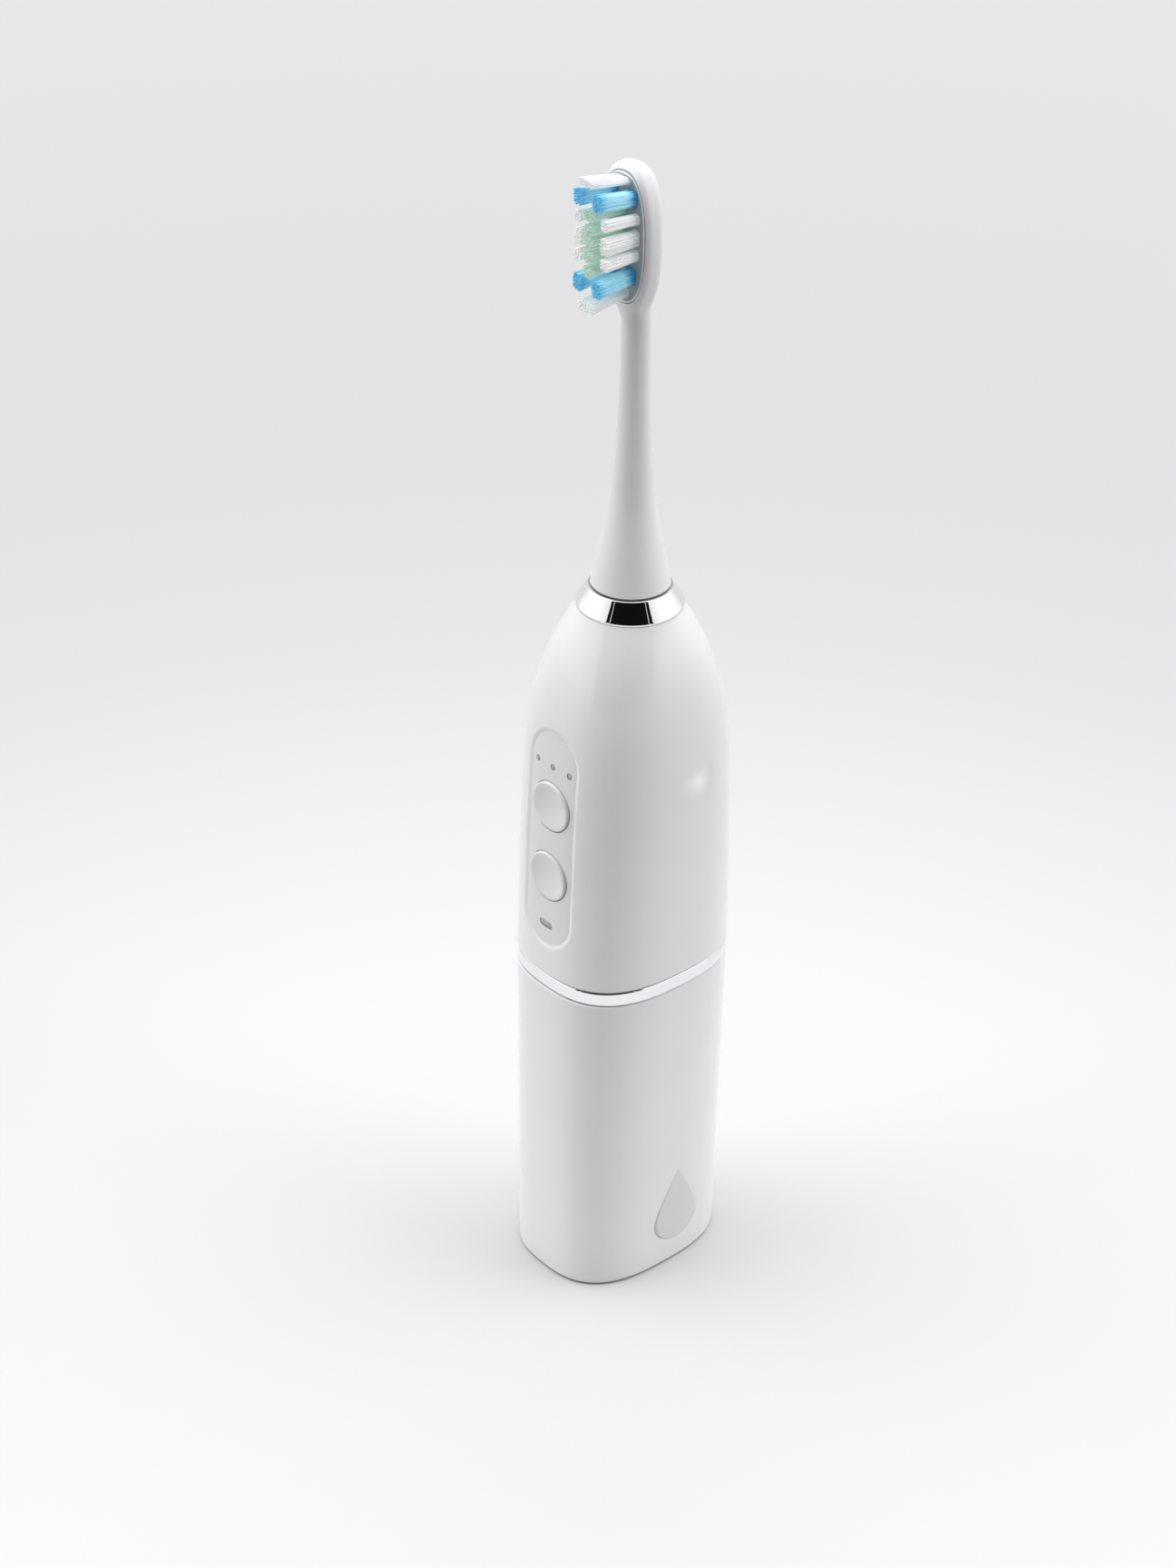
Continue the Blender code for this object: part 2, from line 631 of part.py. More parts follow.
def make_dock_electrics(parent):
    socket_mouth = DOCK_FOOT_HALF[1] - SOCKET_RECESS
    socket_back = socket_mouth - SOCKET_DEPTH
    half_width = POST_PLACE[0] - POST_RADIUS - GAP
    board = box(
        "dock_board",
        (-half_width, -2.0 * MM, DOCK_BOARD_BOTTOM),
        (half_width, DOCK_FOOT_HALF[1] - WALL - 1.5 * MM, DOCK_BOARD_BOTTOM + BOARD_THICKNESS),
    )
    finish(board, "board", parent)

    middle = SOCKET_BOTTOM + SOCKET_HEIGHT / 2
    floor = 1.0 * MM
    cup = [(0.0, 0.0), (0.0, SOCKET_DEPTH), (SOCKET_WALL, SOCKET_DEPTH), (SOCKET_WALL, floor)]
    rings = [
        [(x, y, z) for x, y in stadium(SOCKET_WIDTH - 2 * wall, SOCKET_HEIGHT - 2 * wall)] for wall, z in cup
    ]
    socket = loft("usb_socket", rings, (0.0, socket_back, middle))
    socket.rotation_euler = (-math.pi / 2, 0.0, 0.0)
    tongue = box(
        "socket_tongue",
        (-SOCKET_WIDTH * 0.36, socket_back + 0.5 * MM, middle - TONGUE_THICKNESS / 2),
        (SOCKET_WIDTH * 0.36, socket_mouth - 0.8 * MM, middle + TONGUE_THICKNESS / 2),
    )
    join(socket, tongue)
    finish(socket, "steel", parent)

    place_of_coil = (0.0, 0.0, DOCK_COIL_BOTTOM)
    finish(ring_solid("charge_coil", COIL_INNER, COIL_OUTER, COIL_HEIGHT, place_of_coil), "copper", parent)
    ferrite = cylinder("charge_ferrite", COIL_OUTER, FERRITE_THICKNESS, (0.0, 0.0, DOCK_FERRITE_BOTTOM))
    finish(ferrite, "ferrite", parent)


# ---------------------------------------------------------------- handle casing
def make_upper_shell(parent):
    rows = 13
    heights = [UPPER_SHELL_HEIGHT * (1 - (1 - row / rows) ** 1.5) for row in range(rows + 1)]
    rings = [section_ring(*handle_section(height), height) for height in heights]
    shell = loft("upper_shell", rings, (0.0, 0.0, SHELL_BOTTOM), ends="open")
    solid = shell.modifiers.new("wall", "SOLIDIFY")
    solid.thickness = WALL
    solid.offset = -1.0
    solid.use_even_offset = True
    cut(shell, pad_cutter("pad_recess", GAP, 2.0 * MM, PAD_SUNK + PAD_THICKNESS + GAP))
    for name, outline, height in pad_holes():
        cut(shell, front_hole("shell_" + name, outline, height))
    return finish(shell, "gloss_white", parent)


def pad_holes():
    """Name, outline and height of each hole through the pad and the wall behind it."""
    holes = [
        (name + "_hole", circle(BUTTON_RADIUS + GAP, 24), height)
        for name, height in BUTTON_HEIGHTS.items()
    ]
    for number in (-1, 0, 1):
        outline = circle(LAMP_RADIUS + GAP, 12, x=number * LAMP_PITCH)
        holes.append((f"lamp_hole_{number + 2}", outline, LAMP_HEIGHT))
    outline = stadium(CHARGE_LAMP_WIDTH + 2 * GAP, CHARGE_LAMP_THICKNESS + 2 * GAP)
    holes.append(("charge_lamp_hole", outline, CHARGE_LAMP_HEIGHT))
    return holes


def make_control_pad(parent):
    pad = pad_cutter("control_pad", 0.0, -PAD_SUNK, PAD_SUNK + PAD_THICKNESS)
    for name, outline, height in pad_holes():
        cut(pad, front_hole("pad_" + name, outline, height))
    return finish(pad, "soft_white", parent)


def make_shank(parent):
    """The slim lower case that stands in the well: a cup whose flange the upper shell sits on."""
    depth = SHELL_BOTTOM - SHANK_BOTTOM
    edge = 0.8 * MM
    top = depth + FLANGE_THICKNESS
    outline = [
        (inset(SHANK_HALF, edge), 0.0), (SHANK_HALF, edge), (SHANK_HALF, depth), (FLANGE_HALF, depth),
        (FLANGE_HALF, top), (SHANK_INNER, top), (SHANK_INNER, THIN_WALL),
    ]
    rings = [section_ring(half, DOCK_POWER, height) for half, height in outline]
    shank = loft("shank_shell", rings, (0.0, 0.0, SHANK_BOTTOM))
    for number, y in enumerate(chassis_screw_places(), 1):
        at = (0.0, y, SHELL_BOTTOM - FLANGE_THICKNESS)
        pilot_length = 4 * FLANGE_THICKNESS
        cut(shank, cylinder(f"flange_pilot_{number}", SCREW_RADIUS + GAP, pilot_length, at, segments=12))
    return finish(shank, "satin_white", parent)


def chassis_screw_places():
    """The y of the two chassis screws, halfway between the shank's wall and the gasket."""
    middle = (SHANK_HALF[1] + FLANGE_HALF[1] - GASKET_WIDTH) / 2
    return (-middle, middle)


def make_trim_band(parent):
    outer = superellipse(*inset(HANDLE_HALF, BAND_INSET), HANDLE_POWER)
    inner = superellipse(*inset(SHANK_HALF, -GAP), DOCK_POWER)
    band = prism("trim_band", [outer, inner], BAND_HEIGHT, (0.0, 0.0, BAND_BOTTOM))
    for number, y in enumerate(chassis_screw_places(), 1):
        depth = 1.5 * MM
        at = (0.0, y, BAND_TOP - depth)
        cut(band, cylinder(f"band_relief_{number}", SCREW_RADIUS + GAP, 2 * depth, at, segments=12))
    return finish(band, "chrome", parent)


def make_gasket(parent):
    inner = inset(FLANGE_HALF, GASKET_WIDTH)
    outlines = [superellipse(*FLANGE_HALF, DOCK_POWER), superellipse(*inner, DOCK_POWER)]
    gasket = prism("shell_gasket", outlines, 1.2 * MM, (0.0, 0.0, CHASSIS_BOTTOM))
    return finish(gasket, "rubber", parent)


def make_neck_ring(parent):
    """Chrome collar: a cone over the shell's mouth, with a spigot inside it."""
    spigot = RING_RADIUS - WALL - 2 * GAP
    hole = SHAFT_RADIUS + GAP + SEAL_WALL + GAP
    top = NECK_RADII[0][1] * MM + RING_LIP
    waist = (RING_RADIUS * 0.55 + top * 0.45, RING_HEIGHT * 0.5)
    profile = [
        (hole, RING_HEIGHT), (top, RING_HEIGHT), waist, (RING_RADIUS, RING_EDGE),
        (RING_RADIUS - 0.1 * MM, 0.0), (spigot, 0.0), (spigot, -SPIGOT_DEPTH), (hole, -SPIGOT_DEPTH),
    ]
    ring = turned("neck_ring", profile, (0.0, 0.0, RING_BOTTOM), loop=True, steps=32)
    return finish(ring, "chrome", parent)


def make_shaft_seal(parent):
    """Rubber bellows between the shaft and the neck ring."""
    inner = SHAFT_RADIUS + GAP
    outer = inner + SEAL_WALL
    low = RING_BOTTOM - SPIGOT_DEPTH
    height = RING_TOP - low
    fold = SEAL_WALL / 3
    profile = [
        (inner, height + 1.4 * MM), (inner + fold, height + 1.4 * MM), (inner + fold * 2, height + 0.3 * MM),
        (outer, height - 0.9 * MM), (outer, 0.0), (inner + fold, 0.0), (inner, 1.0 * MM),
    ]
    return finish(turned("shaft_seal", profile, (0.0, 0.0, low), loop=True), "rubber", parent)


# ---------------------------------------------------------------- inside the handle
def make_power_store(parent):
    coil = ring_solid("receiver_coil", COIL_INNER, COIL_OUTER, COIL_HEIGHT, (0.0, 0.0, SHANK_COIL_BOTTOM))
    finish(coil, "copper", parent)
    ferrite = cylinder("receiver_ferrite", COIL_OUTER, FERRITE_THICKNESS, (0.0, 0.0, SHANK_FERRITE_BOTTOM))
    finish(ferrite, "ferrite", parent)
    nub = 1.2 * MM
    profile = [
        (0.0, BATTERY_LENGTH), (2.6 * MM, BATTERY_LENGTH), (2.6 * MM, BATTERY_LENGTH - nub),
        (BATTERY_RADIUS - 0.6 * MM, BATTERY_LENGTH - nub), (BATTERY_RADIUS, BATTERY_LENGTH - nub - 0.6 * MM),
        (BATTERY_RADIUS, 0.4 * MM), (BATTERY_RADIUS - 0.4 * MM, 0.0), (0.0, 0.0),
    ]
    finish(turned("battery_cell", profile, (0.0, 0.0, BATTERY_BOTTOM)), "battery_sleeve", parent)


def make_chassis(parent):
    """The plate behind the board, on a foot that stands on the flange, with two clips round the motor."""
    foot_half = inset(FLANGE_HALF, GASKET_WIDTH + GAP)
    wire_hole = circle(5.0 * MM, 20)
    foot_outlines = [superellipse(*foot_half, DOCK_POWER), wire_hole]
    foot = prism("chassis", foot_outlines, FLANGE_THICKNESS, (0.0, 0.0, CHASSIS_BOTTOM))
    foot_middle = CHASSIS_BOTTOM + FLANGE_THICKNESS / 2
    plate_half = BOARD_WIDTH / 2 - 0.6 * MM
    plate_low = (-plate_half, -CHASSIS_FRONT, foot_middle)
    join(foot, box("chassis_plate", plate_low, (plate_half, -CHASSIS_BACK, CLIP_TOP)))
    clip_inner = MOTOR_RADIUS + GAP
    clip_outer = clip_inner + CLIP_WALL
    for number, low in enumerate((MOTOR_BOTTOM + 1.0 * MM, CLIP_TOP - CLIP_WIDTH), 1):
        web = box(
            f"clip_web_{number}",
            (-2.5 * MM, -(CHASSIS_FRONT + CHASSIS_BACK) / 2, low + 0.4 * MM),
            (2.5 * MM, -(clip_inner + clip_outer) / 2, low + CLIP_WIDTH - 0.4 * MM),
        )
        join(foot, ring_solid(f"clip_{number}", clip_inner, clip_outer, CLIP_WIDTH, (0.0, 0.0, low)), web)
    shelf_top = MOTOR_BOTTOM - CAN_WALL - TORSION_BAR[2] - 2 * GAP
    shelf = box(
        "spring_shelf",
        (-2.5 * MM, -(CHASSIS_FRONT + CHASSIS_BACK) / 2, shelf_top - 1.6 * MM),
        (2.5 * MM, 2.2 * MM, shelf_top),
    )
    join(foot, shelf)
    for number, y in enumerate(chassis_screw_places(), 1):
        low = CHASSIS_BOTTOM - FLANGE_THICKNESS
        length = 3 * FLANGE_THICKNESS
        cut(foot, cylinder(f"foot_hole_{number}", SCREW_RADIUS + GAP, length, (0.0, y, low), segments=12))
    finish(foot, "frame_plastic", parent)

    bar = TORSION_BAR
    spring = box(
        "torsion_bar",
        (-bar[0] / 2, -bar[1] / 2, shelf_top + GAP),
        (bar[0] / 2, bar[1] / 2, shelf_top + GAP + bar[2]),
    )
    finish(spring, "steel", parent)
    for number, y in enumerate(chassis_screw_places(), 1):
        top = CHASSIS_BOTTOM + FLANGE_THICKNESS + GAP
        profile = [
            (0.0, SCREW_HEAD_HEIGHT), (SCREW_HEAD_RADIUS * 0.6, SCREW_HEAD_HEIGHT),
            (SCREW_HEAD_RADIUS * 0.8, 0.0),
            (SCREW_RADIUS, 0.0), (SCREW_RADIUS, -3.0 * MM), (0.0, -3.4 * MM),
        ]
        finish(turned(f"chassis_screw_{number}", profile, (0.0, y, top), steps=16), "steel", parent)


def make_main_board(parent):
    board = box(
        "main_board",
        (-BOARD_WIDTH / 2, -BOARD_FRONT, SHELL_BOTTOM + BOARD_BOTTOM),
        (BOARD_WIDTH / 2, -BOARD_BACK, SHELL_BOTTOM + BOARD_TOP),
    )
    finish(board, "board", parent)
    for name, height in BUTTON_HEIGHTS.items():
        z = SHELL_BOTTOM + height
        switch = box(
            name.replace("button", "switch"),
            (-SWITCH_SIDE / 2, -SWITCH_TOP + 0.4 * MM, z - SWITCH_SIDE / 2),
            (SWITCH_SIDE / 2, -BOARD_FRONT - GAP, z + SWITCH_SIDE / 2),
        )
        plunger_at = (0.0, -SWITCH_TOP + 0.8 * MM, z)
        plunger = cylinder(name + "_plunger", STEM_RADIUS, 0.8 * MM, plunger_at, (math.pi / 2, 0.0, 0.0), 16)
        join(switch, plunger)
        finish(switch, "frame_plastic", parent)


def make_lamps(parent):
    """One light pipe with a prong for each mode lamp, and the lens of the charge lamp."""
    z = SHELL_BOTTOM + LAMP_HEIGHT
    bar_front = -BOARD_FRONT - GAP - 0.9 * MM
    pipe = box(
        "mode_light_pipe",
        (-LAMP_PITCH - 0.9 * MM, bar_front, z - 0.9 * MM),
        (LAMP_PITCH + 0.9 * MM, -BOARD_FRONT - GAP, z + 0.9 * MM),
    )
    for number in (-1, 0, 1):
        x = number * LAMP_PITCH
        start = bar_front + 0.4 * MM
        length = start - front_surface(x, LAMP_HEIGHT) - PAD_SUNK
        turn = (math.pi / 2, 0.0, 0.0)
        prong = cylinder(f"prong_{number + 2}", LAMP_RADIUS, length, (x, start, z), turn, 12)
        join(pipe, prong)
    finish(pipe, "clear_lens", parent)
    back = -BOARD_FRONT - GAP
    length = back - front_surface(0.0, CHARGE_LAMP_HEIGHT) - PAD_SUNK
    outline = stadium(CHARGE_LAMP_WIDTH, CHARGE_LAMP_THICKNESS)
    at = (0.0, back, SHELL_BOTTOM + CHARGE_LAMP_HEIGHT)
    lens = prism("charge_lens", [outline], length, at, (math.pi / 2, 0.0, 0.0))
    finish(lens, "clear_lens", parent)


def make_button(name, height, parent):
    """A dished cap with a flange behind the wall and a stem that reaches the switch."""
    face = -front_surface(0.0, height)
    flange_front = -flange_depth(height)
    flange_back = flange_front - BUTTON_FLANGE
    stem_end = STEM_END - face
    rim = BUTTON_RADIUS - BUTTON_EDGE
    flange = BUTTON_RADIUS + FLANGE_REACH
    dish = [(rim * part, -BUTTON_DISH * (1 - part**2)) for part in (0.0, 0.5, 0.8, 1.0)]
    profile = dish + [
        (BUTTON_RADIUS, -BUTTON_EDGE), (BUTTON_RADIUS, flange_front), (flange, flange_front),
        (flange, flange_back), (STEM_RADIUS, flange_back), (STEM_RADIUS, stem_end), (0.0, stem_end),
    ]
    at = (0.0, -face, SHELL_BOTTOM + height)
    button = turned(name, profile, at, rotation=(math.pi / 2, 0.0, 0.0), steps=24)
    return finish(button, "soft_white", parent)


# ---------------------------------------------------------------- motor
def make_motor(parent):
    can_inner = MOTOR_RADIUS - CAN_WALL
    bearing_hole = BEARING_RADIUS + GAP
    profile = [
        (bearing_hole, MOTOR_LENGTH), (MOTOR_RADIUS, MOTOR_LENGTH), (MOTOR_RADIUS, 0.0), (can_inner, 0.0),
        (can_inner, MOTOR_LENGTH - CAN_WALL), (bearing_hole, MOTOR_LENGTH - CAN_WALL),
    ]
    finish(turned("motor_can", profile, (0.0, 0.0, MOTOR_BOTTOM), loop=True, steps=24), "steel", parent)
    cap = ring_solid("motor_end_cap", bearing_hole, can_inner - GAP, 1.5 * MM, (0.0, 0.0, MOTOR_BOTTOM + GAP))
    finish(cap, "frame_plastic", parent)
    bore = SHAFT_RADIUS + GAP
    rear = ring_solid("rear_bearing", bore, BEARING_RADIUS, BEARING_HEIGHT, (0.0, 0.0, MOTOR_BOTTOM + GAP))
    finish(rear, "steel", parent)
    front_bottom = MOTOR_TOP - BEARING_HEIGHT
    front = ring_solid("front_bearing", bore, BEARING_RADIUS, BEARING_HEIGHT, (0.0, 0.0, front_bottom))
    finish(front, "steel", parent)
    room = MOTOR_LENGTH - 2 * BEARING_HEIGHT - 4 * GAP
    coil_outer = can_inner - GAP
    coil_bottom = MOTOR_BOTTOM + BEARING_HEIGHT + 2 * GAP
    coil = ring_solid("stator_coil", coil_outer - 1.3 * MM, coil_outer, room, (0.0, 0.0, coil_bottom))
    finish(coil, "copper", parent)
    return room, coil_bottom, coil_outer - 1.3 * MM


def make_drive(parent, room, low, coil_inner):
    """The shaft with the rotor that swings it."""
    bottom = MOTOR_BOTTOM
    length = SHAFT_TOP - bottom
    profile = [
        (0.0, length), (SHAFT_RADIUS - 0.4 * MM, length), (SHAFT_RADIUS, length - 0.5 * MM),
        (SHAFT_RADIUS, 0.0), (0.0, 0.0),
    ]
    shaft = turned("drive_shaft", profile, (0.0, 0.0, bottom))
    flat = box(
        "shaft_flat",
        (-2 * SHAFT_RADIUS, SHAFT_RADIUS - FLAT_DEPTH, SHAFT_TOP - FLAT_LENGTH),
        (2 * SHAFT_RADIUS, 3 * SHAFT_RADIUS, SHAFT_TOP + 1.0 * MM),
    )
    cut(shaft, flat)
    finish(shaft, "steel", parent)
    magnet_outer = coil_inner - SLIDE
    magnet_inner = magnet_outer - 1.2 * MM
    core = ring_solid("rotor_core", SHAFT_RADIUS + GAP, magnet_inner - GAP, room, (0.0, 0.0, low))
    finish(core, "steel", parent)
    for number, middle in enumerate((0.0, math.pi), 1):
        outline = arc_band(magnet_inner, magnet_outer, middle, math.radians(140))
        magnet = prism(f"rotor_magnet_{number}", [outline], room, (0.0, 0.0, low))
        finish(magnet, "ferrite", parent)


# ---------------------------------------------------------------- brush head
def smooth(value):
    value = min(max(value, 0.0), 1.0)
    return value * value * (3 - 2 * value)


def neck_radius(height):
    """Radius of the neck at a height above the head's lower edge, between the listed ones."""
    points = [(h * MM, r * MM) for h, r in NECK_RADII]
    for (low, first), (high, second) in zip(points, points[1:]):
        if height <= high:
            return first + (second - first) * (height - low) / (high - low)
    return points[-1][1]


def head_section(height, sides):
    """One ring of the head: round in the neck, and a flat-fronted oval where the bristles stand."""
    radius = neck_radius(height)
    along = min(abs(height - OVAL_CENTRE) / (OVAL_LENGTH / 2), 1.0)
    oval = OVAL_HALF_WIDTH * (1 - along**OVAL_POWER) ** (1 / OVAL_POWER)
    oval_foot = OVAL_CENTRE - OVAL_LENGTH / 2
    share = smooth((height - oval_foot + 3.0 * MM) / (7.0 * MM))
    beyond = max(0.0, (height - OVAL_CENTRE) / (OVAL_LENGTH / 2))
    tip = (1 - min(beyond, 1.0) ** 6) ** 0.5
    stem = radius if height < OVAL_CENTRE else 0.0
    half_width = (stem**4 + oval**4) ** 0.25
    middle = -OVAL_MIDDLE * share
    front = radius + (OVAL_FRONT - OVAL_MIDDLE - radius) * share
    back = radius + (OVAL_BACK + OVAL_MIDDLE - radius) * share
    front_power, back_power = 2 + 2.6 * share, 2 + 0.3 * share
    ring = []
    for step in range(sides):
        turn = 2 * math.pi * (step + 0.5) / sides
        c, s = math.cos(turn), math.sin(turn)
        power, depth = (back_power, back) if s > 0 else (front_power, front)
        x = half_width * math.copysign(abs(c) ** (2 / power), c)
        y = middle + depth * tip * math.copysign(abs(s) ** (2 / power), s)
        ring.append((x, y, height))
    return ring


def plate_outline(shrink=0.0, sides=32):
    return superellipse(
        OVAL_HALF_WIDTH - PLATE_RIM_SIDE - shrink, OVAL_LENGTH / 2 - PLATE_RIM_END - shrink, 2.5, sides
    )


def make_head_body(parent):
    foot = OVAL_CENTRE - OVAL_LENGTH / 2
    neck = [height * MM for height, _ in NECK_RADII]
    rise = [foot - 3.0 * MM + step * 1.4 * MM for step in range(8)]
    middle_top = rise[-1]
    span = HEAD_LENGTH - middle_top
    crown = [middle_top + span * math.sin(math.pi / 2 * step / 8) for step in range(1, 8)]
    last = HEAD_LENGTH - 0.02 * MM
    heights = neck + [height for height in rise if height > neck[-1]] + crown + [last]
    rings = [head_section(height, 28) for height in heights]
    head = loft("head_body", rings, (0.0, 0.0, HEAD_BOTTOM))
    pocket = PLATE_THICKNESS + 3 * MAT_THICKNESS + 4 * GAP
    front = OVAL_FRONT - PLATE_SUNK
    z = HEAD_BOTTOM + OVAL_CENTRE
    at = (0.0, pocket - front, z)
    cut(head, prism("plate_pocket", [plate_outline(-GAP)], pocket + 3.0 * MM, at, (math.pi / 2, 0.0, 0.0)))
    socket_top = SHAFT_ABOVE_RING + 1.2 * MM
    profile = [
        (0.0, socket_top), (BORE_RADIUS, socket_top), (BORE_RADIUS, SKIRT_DEPTH + 4.0 * MM),
        (SKIRT_RADIUS, SKIRT_DEPTH), (SKIRT_RADIUS, -1.0 * MM), (0.0, -1.0 * MM),
    ]
    cut(head, turned("neck_socket", profile, (0.0, 0.0, HEAD_BOTTOM)))
    return finish(head, "satin_white", parent)


def make_sleeve(parent):
    """Metal sleeve in the neck that grips the shaft."""
    inner = SHAFT_RADIUS + GAP
    top = HEAD_BOTTOM + SHAFT_ABOVE_RING
    at = (0.0, 0.0, top - SLEEVE_LENGTH)
    sleeve = ring_solid("coupler_sleeve", inner, inner + SLEEVE_WALL, SLEEVE_LENGTH, at)
    return finish(sleeve, "steel", parent)


def tuft_outline(tuft, grow=0.0):
    x, z, half_width, half_height, _ = tuft
    return [
        (x + px, z + pz)
        for px, pz in superellipse(half_width + grow, half_height + grow, 3.0, 8)
    ]


def make_bristle_plate(parent):
    holes = [tuft_outline(tuft, TUFT_GAP) for tuft in WHITE_TUFTS + BLUE_TUFTS + GREEN_TUFTS]
    y = -(OVAL_FRONT - PLATE_SUNK - PLATE_THICKNESS)
    z = HEAD_BOTTOM + OVAL_CENTRE
    turn = (math.pi / 2, 0.0, 0.0)
    plate = prism("bristle_plate", [plate_outline()] + holes, PLATE_THICKNESS, (0.0, y, z), turn)
    return finish(plate, "gloss_white", parent)


def mat_outlines():
    """The web that the tufts of each colour are fused to, in X and Z about the oval's middle."""
    blue_x = BLUE_TUFTS[-1][0] + BLUE_TUFTS[-1][2] - MAT_INSET
    arms = sorted({tuft[1] for tuft in BLUE_TUFTS})
    half = BLUE_TUFTS[0][3] - MAT_INSET
    spine = 0.8 * MM
    gusset = half + 0.5 * MM
    low, high = arms[0], arms[1]
    letter_h = [
        (-blue_x, low - half), (blue_x, low - half), (blue_x, low + half), (spine, low + gusset),
        (spine, high - gusset), (blue_x, high - half), (blue_x, high + half), (-blue_x, high + half),
        (-blue_x, high - half), (-spine, high - gusset), (-spine, low + gusset), (-blue_x, low + half),
    ]
    green_low = GREEN_TUFTS[0][1] - GREEN_TUFTS[0][3] + MAT_INSET
    green_high = GREEN_TUFTS[-1][1] + GREEN_TUFTS[-1][3] - MAT_INSET
    green_x = GREEN_TUFTS[0][2] - MAT_INSET
    strip = [(-green_x, green_low), (green_x, green_low), (green_x, green_high), (-green_x, green_high)]
    return {"green": strip, "blue": letter_h, "white": plate_outline(0.5 * MM, 24)}


def make_tufts(parent):
    """Each colour's tufts stand on a web behind the plate, one web behind the other."""
    z = HEAD_BOTTOM + OVAL_CENTRE
    face = OVAL_FRONT - PLATE_SUNK
    outlines = mat_outlines()
    layers = (("green", GREEN_TUFTS), ("blue", BLUE_TUFTS), ("white", WHITE_TUFTS))
    for layer, (color, tufts) in enumerate(layers):
        mat_front = face - PLATE_THICKNESS - GAP - layer * (MAT_THICKNESS + GAP)
        mat_back = mat_front - MAT_THICKNESS
        turn = (math.pi / 2, 0.0, 0.0)
        mat = prism(color + "_tufts", [outlines[color]], MAT_THICKNESS, (0.0, -mat_back, z), turn)
        for number, tuft in enumerate(tufts, 1):
            root = mat_front - MAT_THICKNESS / 2
            length = face + tuft[4] - root
            join(mat, prism(f"{color}_tuft_{number}", [tuft_outline(tuft)], length, (0.0, -root, z), turn))
        finish(mat, color + "_filament", parent)


# ---------------------------------------------------------------- assembly
def build():
    clear_scene()
    dock = body("dock", (0.0, 0.0, 0.0))
    handle = body("handle", (0.0, 0.0, SHELL_BOTTOM))
    drive = body("drive", (0.0, 0.0, RING_TOP))
    head = body("brush_head", (0.0, 0.0, HEAD_BOTTOM))

    make_dock_shell(dock)
    make_dock_well(dock)
    make_dock_base(dock)
    make_base_screws(dock)
    make_foot_pad(dock)
    make_ballast(dock)
    make_dock_electrics(dock)

    make_upper_shell(handle)
    make_control_pad(handle)
    make_shank(handle)
    make_trim_band(handle)
    make_gasket(handle)
    make_neck_ring(handle)
    make_shaft_seal(handle)
    make_power_store(handle)
    make_chassis(handle)
    make_main_board(handle)
    make_lamps(handle)
    for name, height in BUTTON_HEIGHTS.items():
        face = front_surface(0.0, height)
        make_button(name, height, body(name + "_body", (0.0, face, SHELL_BOTTOM + height)))

    room, low, coil_inner = make_motor(handle)
    make_drive(drive, room, low, coil_inner)

    make_head_body(head)
    make_sleeve(head)
    make_bristle_plate(head)
    make_tufts(head)


build()
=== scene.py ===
# %% [markdown]
# # An electric toothbrush in its charging dock
#
# The CAD model already holds every part at its true size and place. This lesson dresses it.
# Each visible casing is rebuilt as a finer mesh of the same size, because the CAD faces are
# coarse and have no rounded edges, and a mirror-smooth surface shows both at once.
# Pieces that the camera hardly meets keep their CAD shape and only get a better material.

import json
import math
import random

import bmesh
import bpy
import numpy as np
from mathutils import Matrix, Vector


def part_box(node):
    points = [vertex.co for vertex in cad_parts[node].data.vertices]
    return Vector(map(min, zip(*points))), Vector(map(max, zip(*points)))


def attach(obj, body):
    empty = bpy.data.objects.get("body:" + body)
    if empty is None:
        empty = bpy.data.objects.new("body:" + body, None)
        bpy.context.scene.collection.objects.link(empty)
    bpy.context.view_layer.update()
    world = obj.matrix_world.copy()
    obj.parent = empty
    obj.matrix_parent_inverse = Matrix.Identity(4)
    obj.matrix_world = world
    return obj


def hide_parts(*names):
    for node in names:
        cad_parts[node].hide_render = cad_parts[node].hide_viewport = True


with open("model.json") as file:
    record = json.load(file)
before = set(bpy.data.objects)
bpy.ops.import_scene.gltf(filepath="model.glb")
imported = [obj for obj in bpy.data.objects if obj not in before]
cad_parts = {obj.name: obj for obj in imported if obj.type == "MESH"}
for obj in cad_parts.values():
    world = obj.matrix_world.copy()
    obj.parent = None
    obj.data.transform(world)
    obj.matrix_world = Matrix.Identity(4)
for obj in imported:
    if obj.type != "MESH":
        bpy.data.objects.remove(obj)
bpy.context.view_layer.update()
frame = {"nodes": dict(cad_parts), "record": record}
MM = 0.001
AXIS = 0.001 * MM

# %% [markdown]
# ## Where things are
#
# A piece must sit exactly where its CAD twin sits, so heights are read from the CAD nodes and
# never typed. Only what a box can't tell is stated: how round the section is, how much it
# tapers, how thick a wall is.

# %% Heights read from the CAD
DOCK_LOW, DOCK_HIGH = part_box("dock_shell")
BAND_LOW, BAND_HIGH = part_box("trim_band")
SHELL_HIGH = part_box("upper_shell")[1]
RING_LOW, RING_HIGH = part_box("neck_ring")
SEAL_LOW, SEAL_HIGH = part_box("shaft_seal")
HEAD_LOW, HEAD_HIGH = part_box("head_body")
PLATE_LOW, PLATE_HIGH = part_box("bristle_plate")
PAD_LOW, PAD_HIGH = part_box("control_pad")
SEAM = 0.3 * MM
SHELL_BOTTOM = BAND_HIGH.z + SEAM
SHELL_HEIGHT = SHELL_HIGH.z - SHELL_BOTTOM
print("shell from", round(SHELL_BOTTOM / MM, 2), "to", round(SHELL_HIGH.z / MM, 2), "mm")

